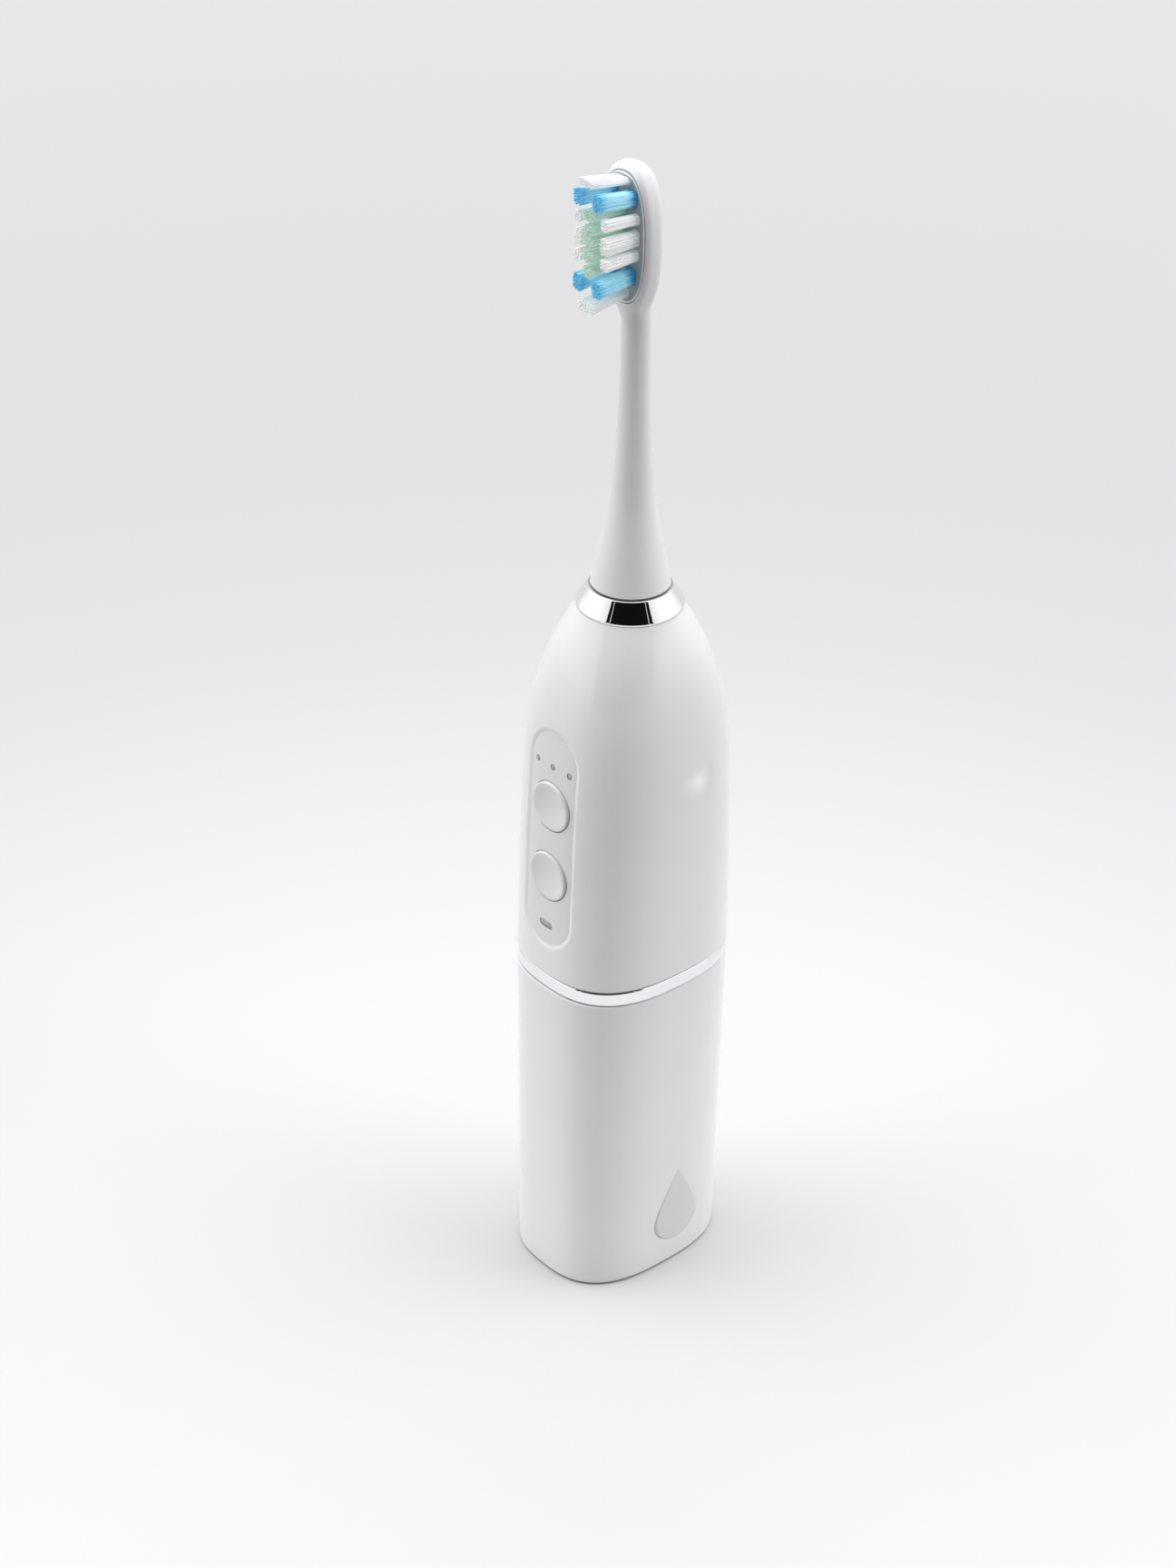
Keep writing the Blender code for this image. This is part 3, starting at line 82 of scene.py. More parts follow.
# %% [markdown]
# ## Rounded sections
#
# Dock and handle share a section between an oval and a rounded rectangle. A superellipse
# draws exactly that family: one exponent slides it from an ellipse (2) towards a box (large).
# A bevelled box would need four separate arcs and would show where the arcs meet the flats.

# %% Superellipse rings
def superellipse(half_x, half_y, power, turns):
    """Points round |x/a|^n + |y/b|^n = 1 at the given turns."""
    c, s = np.cos(turns), np.sin(turns)
    x = half_x * np.sign(c) * np.abs(c) ** (2 / power)
    y = half_y * np.sign(s) * np.abs(s) ** (2 / power)
    return np.column_stack((x, y))


def even_turns(sides):
    return 2 * np.pi * np.arange(sides) / sides


def ring_at(points, height):
    return np.column_stack((points, np.full(len(points), height)))


# %% [markdown]
# ## Rounding a profile
#
# Moulded parts have no sharp edges. Instead of a Bevel modifier, which works on the finished
# mesh, each profile is rounded before it is swept: every corner becomes a small arc, with a
# holding point just outside each end of the arc so that smooth shading stays flat beyond it.

# %% Profile helper
def rounded(profile, radius, steps=4, hold=0.25 * MM, closed=True):
    """The profile with each corner turned into an arc; radius is one value, or one for each corner."""
    count = len(profile)
    radii = [radius] * count if isinstance(radius, float) else list(radius)
    result = []
    for i, corner in enumerate(profile):
        if not closed and i in (0, count - 1):
            result.append(tuple(corner))
            continue
        here = Vector(corner)
        before, after = Vector(profile[i - 1]) - here, Vector(profile[(i + 1) % count]) - here
        reach = min(radii[i], before.length * 0.4, after.length * 0.4)
        if reach < 0.01 * MM:
            result.append(tuple(corner))
            continue
        start, end = here + before.normalized() * reach, here + after.normalized() * reach
        if before.length > 2 * reach + 2 * hold:
            result.append(tuple(start + before.normalized() * hold))
        for step in range(steps + 1):
            t = step / steps
            result.append(tuple(start * (1 - t) ** 2 + here * 2 * t * (1 - t) + end * t * t))
        if after.length > 2 * reach + 2 * hold:
            result.append(tuple(end + after.normalized() * hold))
    return result


# %% Mesh helpers
def linked(name, data):
    """A new object in the scene that carries the data."""
    made = bpy.data.objects.new(name, data)
    bpy.context.scene.collection.objects.link(made)
    return made


def mesh_from(name, points, faces):
    mesh = bpy.data.meshes.new(name)
    mesh.from_pydata([tuple(point) for point in points], [], faces)
    return mesh


def grid_faces(rows, columns, start=0):
    """The faces between rows and columns of points that are numbered on from start."""
    faces = []
    for row in range(rows - 1):
        for column in range(columns - 1):
            k = start + row * columns + column
            faces.append((k, k + 1, k + columns + 1, k + columns))
    return faces


def smooth_mesh(name, points, faces, angle=40):
    """A mesh from points and faces, facing out, smooth but for edges sharper than the angle."""
    mesh = mesh_from(name, points, faces)
    shape = bmesh.new()
    shape.from_mesh(mesh)
    bmesh.ops.remove_doubles(shape, verts=shape.verts, dist=0.002 * MM)
    bmesh.ops.recalc_face_normals(shape, faces=shape.faces)
    shape.to_mesh(mesh)
    shape.free()
    mesh.shade_smooth()
    mesh.set_sharp_from_angle(angle=math.radians(angle))
    return mesh


def loft(name, rings, ends="loop", angle=40):
    """A skin over rings of equally many points. ends: loop joins last to first, caps closes both."""
    rings = np.array(rings)
    rows, sides = rings.shape[:2]
    last = rows if ends == "loop" else rows - 1
    faces = []
    for row in range(last):
        base, above = row * sides, (row + 1) % rows * sides
        for i in range(sides):
            j = (i + 1) % sides
            faces.append((base + i, base + j, above + j, above + i))
    if ends == "caps":
        faces.append(tuple(reversed(range(sides))))
        faces.append(tuple(range((rows - 1) * sides, rows * sides)))
    return smooth_mesh(name, rings.reshape(-1, 3), faces, angle)


def lathe(name, profile, at, sides=96, ends="loop"):
    """A turned mesh: the profile's (radius, height) points swept round +Z through the point at."""
    turns = even_turns(sides)
    circle = np.column_stack((np.cos(turns), np.sin(turns)))
    rings = [ring_at(circle * radius + at[:2], z + at[2]) for radius, z in profile]
    return loft(name, rings, ends)


def cut_with(made, cutter_mesh):
    """Cuts a closed mesh out of a piece and keeps the result as the piece's own mesh."""
    cutter = linked("cutter", cutter_mesh)
    modifier = made.modifiers.new("cut", "BOOLEAN")
    modifier.object = cutter
    modifier.operation = "DIFFERENCE"
    bpy.context.view_layer.update()
    graph = bpy.context.evaluated_depsgraph_get()
    result = bpy.data.meshes.new_from_object(made.evaluated_get(graph))
    made.modifiers.clear()
    made.data = result
    bpy.data.objects.remove(cutter)
    result.shade_smooth()
    result.set_sharp_from_angle(angle=math.radians(30))
    return made


def punches(name, outlines, depth_from, depth_to):
    """One mesh of separate bars along Y, each with an (x, z) outline."""
    points, faces = [], []
    for outline in outlines:
        start, count = len(points), len(outline)
        points += [(x, depth_from, z) for x, z in outline]
        points += [(x, depth_to, z) for x, z in outline]
        for i in range(count):
            j = (i + 1) % count
            faces.append((start + i, start + j, start + count + j, start + count + i))
        faces.append(tuple(range(start, start + count)))
        faces.append(tuple(reversed(range(start + count, start + 2 * count))))
    return smooth_mesh(name, points, faces)


print("helpers ready")

# %% [markdown]
# ## Surface effects as node groups
#
# Several finishes share the same small effects: the faint skin that a mould leaves on plastic,
# the haze that hands leave on a gloss surface, the lay of a brushed metal. Each is built once
# as a node group with its own inputs, so one fix improves every material that uses it.

# %% Node group helper
def new_group(name, inputs, outputs):
    """An empty shader group with number inputs {name: default} and number outputs."""
    group = bpy.data.node_groups.new(name, "ShaderNodeTree")
    for label, value in inputs.items():
        socket = group.interface.new_socket(name=label, in_out="INPUT", socket_type="NodeSocketFloat")
        socket.default_value = value
    for label in outputs:
        group.interface.new_socket(name=label, in_out="OUTPUT", socket_type="NodeSocketFloat")
    return group, group.nodes.new("NodeGroupInput"), group.nodes.new("NodeGroupOutput")


def math_node(tree, operation, first, second):
    """A Math node whose two inputs are sockets or numbers; returns its output socket."""
    node = tree.nodes.new("ShaderNodeMath")
    node.operation = operation
    for socket, value in zip(node.inputs, (first, second)):
        if isinstance(value, (int, float)):
            socket.default_value = value
        else:
            tree.links.new(value, socket)
    return node.outputs[0]


def object_place(tree):
    """The socket that gives each point's place in the piece's own metres."""
    return tree.nodes.new("ShaderNodeTexCoord").outputs["Object"]


def noise_node(tree, coordinates, scale, detail, roughness=0.5):
    """A 3D noise; scale is a socket or a number. Returns its factor socket."""
    node = tree.nodes.new("ShaderNodeTexNoise")
    node.inputs["Detail"].default_value = detail
    node.inputs["Roughness"].default_value = roughness
    tree.links.new(coordinates, node.inputs["Vector"])
    if isinstance(scale, (int, float)):
        node.inputs["Scale"].default_value = scale
    else:
        tree.links.new(scale, node.inputs["Scale"])
    return node.outputs[0]


def vector_node(tree, operation, coordinates, second=(0.0, 0.0, 0.0)):
    """A Vector Math node on the coordinates and a fixed (x, y, z); returns the node."""
    node = tree.nodes.new("ShaderNodeVectorMath")
    node.operation = operation
    node.inputs[1].default_value = second
    tree.links.new(coordinates, node.inputs[0])
    return node


def stretched(tree, coordinates, scale):
    """The coordinates multiplied by a fixed (x, y, z), to draw a pattern out along one axis."""
    return vector_node(tree, "MULTIPLY", coordinates, scale).outputs["Vector"]


# %% Mould skin
def build_mould_skin():
    """Slow waviness from cooling, plus a fine spark-eroded skin."""
    group, source, target = new_group(
        "mould_skin", {"Wave Scale": 90.0, "Skin Scale": 5000.0, "Skin Share": 0.3}, ("Height",)
    )
    place = object_place(group)
    wave = noise_node(group, place, source.outputs["Wave Scale"], 1.0)
    skin = noise_node(group, place, source.outputs["Skin Scale"], 2.0)
    fine = math_node(group, "MULTIPLY", skin, source.outputs["Skin Share"])
    group.links.new(math_node(group, "ADD", wave, fine), target.inputs["Height"])
    return group


# %% Handling haze
def build_handling_haze():
    """Faint smears where fingers and a drying cloth have been; raises roughness a little."""
    group, source, target = new_group(
        "handling_haze", {"Roughness": 0.2, "Amount": 0.1, "Scale": 120.0}, ("Roughness",)
    )
    place = object_place(group)
    wiped = stretched(group, place, (1.0, 1.0, 0.35))
    smear = noise_node(group, wiped, source.outputs["Scale"], 4.0, 0.65)
    specks = noise_node(group, place, 2600.0, 2.0)
    both = math_node(group, "MULTIPLY", smear, specks)
    extra = math_node(group, "MULTIPLY", both, source.outputs["Amount"])
    roughness = math_node(group, "ADD", source.outputs["Roughness"], extra)
    group.links.new(roughness, target.inputs["Roughness"])
    return group


# %% Metal lay
def build_metal_lay():
    """Fine lines round a turned part, as a lathe or a polishing wheel leaves them."""
    group, source, target = new_group("metal_lay", {"Lines": 4200.0}, ("Streak",))
    place = object_place(group)
    turned = stretched(group, place, (0.04, 0.04, 1.0))
    lines = noise_node(group, turned, source.outputs["Lines"], 3.0, 0.6)
    group.links.new(lines, target.inputs["Streak"])
    return group


# %% Filament streaks
def build_filament_streaks():
    """Light and dark lines along a bristle, from one filament catching more light than the next."""
    group, source, target = new_group(
        "filament_streaks", {"Scale": 2600.0, "Contrast": 1.0}, ("Streak",)
    )
    drawn = stretched(group, object_place(group), (1.0, 0.02, 1.0))
    lines = noise_node(group, drawn, source.outputs["Scale"], 2.0, 0.6)
    centred = math_node(group, "SUBTRACT", lines, 0.5)
    streak = math_node(group, "MULTIPLY", centred, source.outputs["Contrast"])
    group.links.new(streak, target.inputs["Streak"])
    return group


EFFECTS = {
    "mould_skin": build_mould_skin(),
    "handling_haze": build_handling_haze(),
    "metal_lay": build_metal_lay(),
    "filament_streaks": build_filament_streaks(),
}
print("effects:", ", ".join(EFFECTS))

# %% [markdown]
# ## Finishes
#
# Every finish is one Principled shader. What is the same all over, such as how metallic the
# surface is, is typed on the shader's own socket. What varies over the surface comes in
# through a node group: roughness from the haze, relief from the mould skin.

# %% Material helpers
def new_material(name, color, roughness, metallic=0.0):
    made = bpy.data.materials.new(name)
    made.use_nodes = True
    shader = made.node_tree.nodes["Principled BSDF"]
    shader.inputs["Base Color"].default_value = (*color, 1.0)
    shader.inputs["Roughness"].default_value = roughness
    shader.inputs["Metallic"].default_value = metallic
    return made, made.node_tree, shader


def effect(tree, name, **values):
    """Places a shared effect in a material with its own values, whose names have _ for a space."""
    node = tree.nodes.new("ShaderNodeGroup")
    node.node_tree = EFFECTS[name]
    for label, value in values.items():
        node.inputs[label.replace("_", " ")].default_value = value
    return node


def relief(tree, shader, height, distance):
    bump = tree.nodes.new("ShaderNodeBump")
    bump.inputs["Distance"].default_value = distance
    tree.links.new(height, bump.inputs["Height"])
    tree.links.new(bump.outputs["Normal"], shader.inputs["Normal"])


def tinted(tree, shader, factor, low_color, high_color, low=0.35, high=0.65):
    """Base colour that runs between two colours as the factor goes from low to high."""
    ramp = tree.nodes.new("ShaderNodeValToRGB")
    ramp.color_ramp.elements[0].position, ramp.color_ramp.elements[1].position = low, high
    ramp.color_ramp.elements[0].color = (*low_color, 1.0)
    ramp.color_ramp.elements[1].color = (*high_color, 1.0)
    tree.links.new(factor, ramp.inputs["Fac"])
    tree.links.new(ramp.outputs["Color"], shader.inputs["Base Color"])
    return ramp


# %% Plastics
def plastic(name, color, roughness, haze, wave, skin_share, coat=0.0):
    """Moulded plastic: a hair of colour drift, mould skin for relief, haze for roughness."""
    made, tree, shader = new_material(name, color, roughness)
    shader.inputs["IOR"].default_value = 1.49
    shader.inputs["Coat Weight"].default_value = coat
    shader.inputs["Coat Roughness"].default_value = 0.04
    place = object_place(tree)
    drift = noise_node(tree, place, 60.0, 2.0)
    tinted(tree, shader, drift, [channel * 0.985 for channel in color], color)
    hands = effect(tree, "handling_haze", Roughness=roughness, Amount=haze)
    tree.links.new(hands.outputs["Roughness"], shader.inputs["Roughness"])
    skin = effect(tree, "mould_skin", Skin_Share=skin_share)
    relief(tree, shader, skin.outputs["Height"], wave)
    return made


def metal(name, color, roughness, lines, depth, darker=0.85):
    """Bare or plated metal with the lay of its last machining."""
    made, tree, shader = new_material(name, color, roughness, 1.0)
    lay = effect(tree, "metal_lay", Lines=lines)
    tinted(tree, shader, lay.outputs["Streak"], [channel * darker for channel in color], color, 0.3, 0.7)
    hands = effect(tree, "handling_haze", Roughness=roughness, Amount=0.05)
    tree.links.new(hands.outputs["Roughness"], shader.inputs["Roughness"])
    relief(tree, shader, lay.outputs["Streak"], depth)
    return made


GLOSS = plastic("casing_gloss_white", (0.83, 0.832, 0.84), 0.16, 0.10, 0.004 * MM, 0.02, coat=0.4)
SATIN = plastic("satin_white", (0.82, 0.82, 0.825), 0.42, 0.15, 0.004 * MM, 0.35)
SOFT = plastic("pad_soft_white", (0.79, 0.79, 0.80), 0.40, 0.15, 0.004 * MM, 0.35)
FRAME_PLASTIC = plastic("chassis_grey", (0.16, 0.165, 0.18), 0.5, 0.2, 0.008 * MM, 0.6)
# Painted shade: this grey stands for the shade between the tufts and in the plate's recess, not for a
# grey plastic.
PLATE_PAINTED_SHADE_GREY = plastic("plate_painted_shade_grey", (0.40, 0.405, 0.41), 0.35, 0.1, 0.004 * MM, 0.3)
LENS = plastic("lamp_lens_grey", (0.42, 0.42, 0.43), 0.25, 0.1, 0.004 * MM, 0.1)
CHROME = metal("chrome_plate", (0.89, 0.895, 0.90), 0.03, 900.0, 0.0004 * MM, darker=0.985)
STEEL = metal("turned_steel", (0.56, 0.57, 0.58), 0.26, 6000.0, 0.004 * MM)
print("plastics and metals ready")


# %% [markdown]
# ## Finishes for the inner works
#
# Windings, ferrite, rubber, circuit board and cell are only met when the handle is lifted or
# the casings are hidden, but a part that is opened up should not turn into grey clay. Each
# gets the one pattern that makes it readable: wire turns, sintered grain, mask over copper.

# %% Inner works
def copper_wire():
    """Enamelled wire: tight rings of round turns."""
    made, tree, shader = new_material("copper_winding", (0.72, 0.36, 0.16), 0.3, 1.0)
    place = object_place(tree)
    wave = tree.nodes.new("ShaderNodeTexWave")
    wave.wave_type = "RINGS"
    wave.rings_direction = "Z"
    wave.inputs["Scale"].default_value = 900.0
    tree.links.new(place, wave.inputs["Vector"])
    tinted(tree, shader, wave.outputs["Fac"], (0.40, 0.17, 0.06), (0.80, 0.42, 0.20), 0.0, 0.8)
    relief(tree, shader, wave.outputs["Fac"], 0.08 * MM)
    return made


def grained(name, color, roughness, draw, grain, tints, depth):
    """A finish that one noise (scale, detail, roughness) both tints and raises, drawn out by draw."""
    made, tree, shader = new_material(name, color, roughness)
    noise = noise_node(tree, stretched(tree, object_place(tree), draw), *grain)
    tinted(tree, shader, noise, *tints)
    relief(tree, shader, noise, depth)
    return made


def sintered():
    """Pressed and baked powder: dark, with a fine even grain."""
    tints = ((0.025, 0.025, 0.03), (0.09, 0.09, 0.10))
    return grained("sintered_ferrite", (0.05, 0.05, 0.055), 0.55, (1.0, 1.0, 1.0),
                   (4000.0, 4.0, 0.7), tints, 0.02 * MM)


def moulded_rubber():
    made, tree, shader = new_material("moulded_rubber", (0.42, 0.42, 0.43), 0.75)
    shader.inputs["Specular IOR Level"].default_value = 0.3
    place = object_place(tree)
    bloom = noise_node(tree, place, 300.0, 4.0, 0.6)
    tinted(tree, shader, bloom, (0.38, 0.38, 0.39), (0.47, 0.47, 0.48))
    skin = effect(tree, "mould_skin", Skin_Share=0.8)
    relief(tree, shader, skin.outputs["Height"], 0.01 * MM)
    return made


def circuit_board():
    """Green mask that lets a copper grid show through as slightly lighter lines."""
    made, tree, shader = new_material("circuit_board", (0.02, 0.15, 0.07), 0.4)
    shader.inputs["Coat Weight"].default_value = 0.3
    place = object_place(tree)
    tracks = tree.nodes.new("ShaderNodeTexBrick")
    tracks.inputs["Scale"].default_value = 420.0
    tracks.inputs["Mortar Size"].default_value = 0.04
    tracks.inputs["Color1"].default_value = (0.015, 0.12, 0.055, 1.0)
    tracks.inputs["Color2"].default_value = (0.020, 0.14, 0.065, 1.0)
    tracks.inputs["Mortar"].default_value = (0.06, 0.26, 0.12, 1.0)
    tree.links.new(place, tracks.inputs["Vector"])
    tree.links.new(tracks.outputs["Color"], shader.inputs["Base Color"])
    relief(tree, shader, tracks.outputs["Fac"], 0.02 * MM)
    return made


def shrink_sleeve():
    """Printed film shrunk round the cell: glossy, with faint lengthwise wrinkles."""
    tints = ((0.05, 0.17, 0.44), (0.08, 0.24, 0.56))
    return grained("cell_sleeve", (0.06, 0.20, 0.50), 0.3, (1.0, 1.0, 0.15),
                   (500.0, 3.0), tints, 0.03 * MM)


INNER = {
    "copper": copper_wire(), "ferrite": sintered(), "rubber": moulded_rubber(),
    "board": circuit_board(), "battery_sleeve": shrink_sleeve(),
}
print("inner finishes:", ", ".join(INNER))


# %% [markdown]
# ## Bristle nylon
#
# A tuft is not one block of colour: it is dark near its root, where little light gets in,
# palest in the middle, and a little deeper again at the cut ends. A ramp along the bristle
# paints that into the colour: painted shade at the root and painted light in the middle, over
# the nylon's own dye. The streak effect paints light and dark lines where neighbouring
# filaments catch different light, and a faint emission in the ramp's colours paints in the
# light that wanders inside a bundle.

# %% Bristle nylon
def nylon(name, root, middle, tip, streak, glow):
    """Filament colour from root to tip along -Y, with painted shade at the root and painted light in the
    middle; glow is emission, painted light for the light that wanders inside a bundle.
    """
    made, tree, shader = new_material(name, middle, 0.32)
    shader.inputs["IOR"].default_value = 1.53
    # Painted light: the bristles are no lamp; this emission stands for light scattered inside the
    # bundle.
    shader.inputs["Emission Strength"].default_value = glow
    place = object_place(tree)
    split = tree.nodes.new("ShaderNodeSeparateXYZ")
    tree.links.new(place, split.inputs[0])
    along = tree.nodes.new("ShaderNodeMapRange")
    along.inputs["From Min"].default_value = PLATE_LOW.y
    along.inputs["From Max"].default_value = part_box("blue_tufts")[0].y
    tree.links.new(split.outputs["Y"], along.inputs["Value"])
    lines = effect(tree, "filament_streaks", Contrast=streak)
    shifted = math_node(tree, "ADD", along.outputs["Result"], lines.outputs["Streak"])
    # The ramp paints shade at the root and light through the middle of each bristle.
    ramp = tinted(tree, shader, shifted, root, tip, 0.0, 1.0)
    for position in (0.22, 0.80):
        ramp.color_ramp.elements.new(position).color = (*middle, 1.0)
    tree.links.new(ramp.outputs["Color"], shader.inputs["Emission Color"])
    return made


# Root colours hold painted shade and middle colours painted light; the last two numbers are the streak
# contrast and the painted glow.
WHITE_NYLON = nylon(
    "nylon_white", (0.86, 0.90, 0.92), (0.97, 0.98, 0.98), (0.96, 0.97, 0.97), 0.25, 0.10
)
BLUE_NYLON = nylon(
    "nylon_blue", (0.04, 0.36, 0.66), (0.42, 0.82, 0.97), (0.16, 0.56, 0.84), 0.6, 0.14
)
GREEN_NYLON = nylon(
    "nylon_mint", (0.42, 0.74, 0.62), (0.70, 0.88, 0.79), (0.66, 0.85, 0.75), 0.3, 0.10
)
print("nylon ready")

# %% [markdown]
# ## One finish for each slot
#
# Every piece names a slot, as its CAD twin does, and takes that slot's finish. A finish can
# then be changed in one place, and a new piece can't be left bare.

# %% Finishes for each slot
FINISH_OF_SLOT = {
    "gloss_white": GLOSS, "satin_white": SATIN, "soft_white": SOFT, "clear_lens": LENS,
    "chrome": CHROME, "steel": STEEL, "frame_plastic": FRAME_PLASTIC, "white_filament": WHITE_NYLON,
    "blue_filament": BLUE_NYLON, "green_filament": GREEN_NYLON, **INNER,
}
for entry in frame["record"]["subparts"]:
    node = frame["nodes"][entry["node"]]
    node.data.materials.clear()
    node.data.materials.append(FINISH_OF_SLOT[entry["material_slot"]])


# %% Placing a piece
def piece(name, mesh, body, slot, *replaced):
    """A visible piece in its slot's finish, which rides on a body and stands for some CAD nodes."""
    if not mesh.materials:
        mesh.materials.append(FINISH_OF_SLOT[slot])
    made = linked(name, mesh)
    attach(made, body)
    if replaced:
        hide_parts(*replaced)
    return made


print("slots:", len(FINISH_OF_SLOT))

# %% [markdown]
# ## The dock's case
#
# The case is a tall tube that widens a little towards the rim. It could be an extruded
# outline, but then it couldn't taper, so rings are lofted instead: the wall's profile is
# drawn once as (inset, height) points, its corners are rounded, and each point becomes a ring.

# %% Dock case
DOCK_FOOT_HALF = (15.6 * MM, 20.0 * MM)
DOCK_RIM_HALF = (DOCK_HIGH.x, DOCK_HIGH.y)
DOCK_POWER = 2.75
DOCK_WALL = 1.8 * MM


def dock_ring(inset, height, turns):
    """A ring of the dock's section, some way inside its outer surface."""
    up = (height - DOCK_LOW.z) / (DOCK_HIGH.z - DOCK_LOW.z)
    half = [foot + (rim - foot) * up - inset for foot, rim in zip(DOCK_FOOT_HALF, DOCK_RIM_HALF)]
    return ring_at(superellipse(*half, DOCK_POWER, turns), height)


def stadium(width, height, steps=12):
    """A bar with round ends, as (x, z) points about the origin."""
    radius = min(width, height) / 2
    reach = Vector((width / 2 - radius, height / 2 - radius))
    points = []
    for turn in np.linspace(0, 2 * math.pi, 4 * steps, endpoint=False) + math.pi / (4 * steps):
        corner = (math.copysign(reach.x, math.cos(turn)), math.copysign(reach.y, math.sin(turn)))
        points.append((corner[0] + radius * math.cos(turn), corner[1] + radius * math.sin(turn)))
    return points


wall = [(0.0, DOCK_LOW.z), (0.0, DOCK_HIGH.z), (DOCK_WALL, DOCK_HIGH.z), (DOCK_WALL, DOCK_LOW.z)]
profile = rounded(wall, [0.5 * MM, 0.25 * MM, 0.2 * MM, 0.2 * MM])
dock_mesh = loft("dock_case", [dock_ring(inset, z, even_turns(160)) for inset, z in profile])
dock_case = piece("dock_case", dock_mesh, "dock", "gloss_white", "dock_shell")
SOCKET_LOW, SOCKET_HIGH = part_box("usb_socket")
socket_middle = (SOCKET_LOW.z + SOCKET_HIGH.z) / 2
socket_size = (SOCKET_HIGH.x - SOCKET_LOW.x, SOCKET_HIGH.z - SOCKET_LOW.z)
SOCKET_ROOM = 0.5 * MM
window_outline = stadium(socket_size[0] + SOCKET_ROOM, socket_size[1] + SOCKET_ROOM)
window = [(x, z + socket_middle) for x, z in window_outline]
cut_with(dock_case, punches("window", [window], DOCK_HIGH.y - 4 * MM, DOCK_HIGH.y + 2 * MM))
print("dock case:", len(dock_case.data.polygons), "faces")

# %% [markdown]
# ## The charging socket
#
# A socket is a folded steel cup with a tongue that carries rows of contacts. The cup is one
# lofted loop; the contacts are real small bars, since flat paint would look wrong edge-on.

# %% Socket
def bars(name, boxes, bevel=0.0):
    """Several boxes, each from a low to a high corner, as one mesh of separate bars."""
    shape = bmesh.new()
    for low, high in boxes:
        low, high = Vector(low), Vector(high)
        made = bmesh.ops.create_cube(shape, size=1.0)["verts"]
        bmesh.ops.scale(shape, vec=high - low, verts=made)
        bmesh.ops.translate(shape, vec=(low + high) / 2, verts=made)
    if bevel:
        bmesh.ops.bevel(shape, geom=list(shape.edges), offset=bevel, segments=2, affect="EDGES")
    mesh = bpy.data.meshes.new(name)
    shape.to_mesh(mesh)
    shape.free()
    mesh.shade_smooth()
    mesh.set_sharp_from_angle(angle=math.radians(35))
    return mesh


def make_socket():
    depth = SOCKET_HIGH.y - SOCKET_LOW.y
    cup_wall = 0.3 * MM
    outline = [(0.0, 0.0), (0.0, depth), (cup_wall, depth), (cup_wall, 1.0 * MM)]
    cup = rounded(outline, 0.1 * MM, 3, 0.1 * MM, False)
    rings = []
    for inset, y in cup:
        outline = stadium(socket_size[0] - 2 * inset, socket_size[1] - 2 * inset)
        rings.append([(x, SOCKET_LOW.y + y, z + socket_middle) for x, z in outline])
    piece("socket_cup", loft("socket_cup", rings, "caps"), "dock", "steel", "usb_socket")
    tongue_reach = SOCKET_HIGH.y - 0.8 * MM
    tongue_box = [((-3.2 * MM, SOCKET_LOW.y + MM, socket_middle - 0.33 * MM),
                   (3.2 * MM, tongue_reach, socket_middle + 0.33 * MM))]
    piece("socket_tongue", bars("socket_tongue", tongue_box, 0.12 * MM), "dock", "frame_plastic")
    contacts = []
    for side in (-1, 1):
        for step in range(12):
            x = (step - 5.5) * 0.5 * MM
            z = socket_middle + side * 0.34 * MM
            contacts.append(((x - 0.13 * MM, SOCKET_LOW.y + 2 * MM, z - 0.04 * MM),
                             (x + 0.13 * MM, tongue_reach - 0.5 * MM, z + 0.04 * MM)))
    piece("socket_contacts", bars("socket_contacts", contacts), "dock", "copper")
    return len(contacts)


print("socket contacts:", make_socket())

# %% [markdown]
# ## The well and the shank
#
# Lifting the handle uncovers a slim shank and the flanged cup that it stood in. Both are
# rebuilt with rounded edges, and the shank gets two shallow guide ribs, which centre it in
# the well and stop it from turning.

# %% Well and shank
WELL_LOW, WELL_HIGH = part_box("dock_well")
SHANK_LOW, SHANK_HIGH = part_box("shank_shell")
WELL_HALF = (13.35 * MM, 15.35 * MM)
THIN_WALL = 1.3 * MM
SLIDE = 0.45 * MM
SHANK_HALF = tuple(half - THIN_WALL - SLIDE for half in WELL_HALF)
FLANGE = 1.4 * MM


def swept(name, sections, radius):
    """A closed skin over ((half_x, half_y), height) sections, its profile's corners rounded."""
    flat = rounded([(half[0], z) for half, z in sections], radius, 3, closed=False)
    spread = {half[0]: half[1] for half, _ in sections}
    xs, ys = zip(*sorted(spread.items()))
    rings = []
    for x, z in flat:
        half_y = float(np.interp(x, xs, ys))
        rings.append(ring_at(superellipse(x, half_y, DOCK_POWER, even_turns(128)), z))
    return loft(name, rings, "caps")


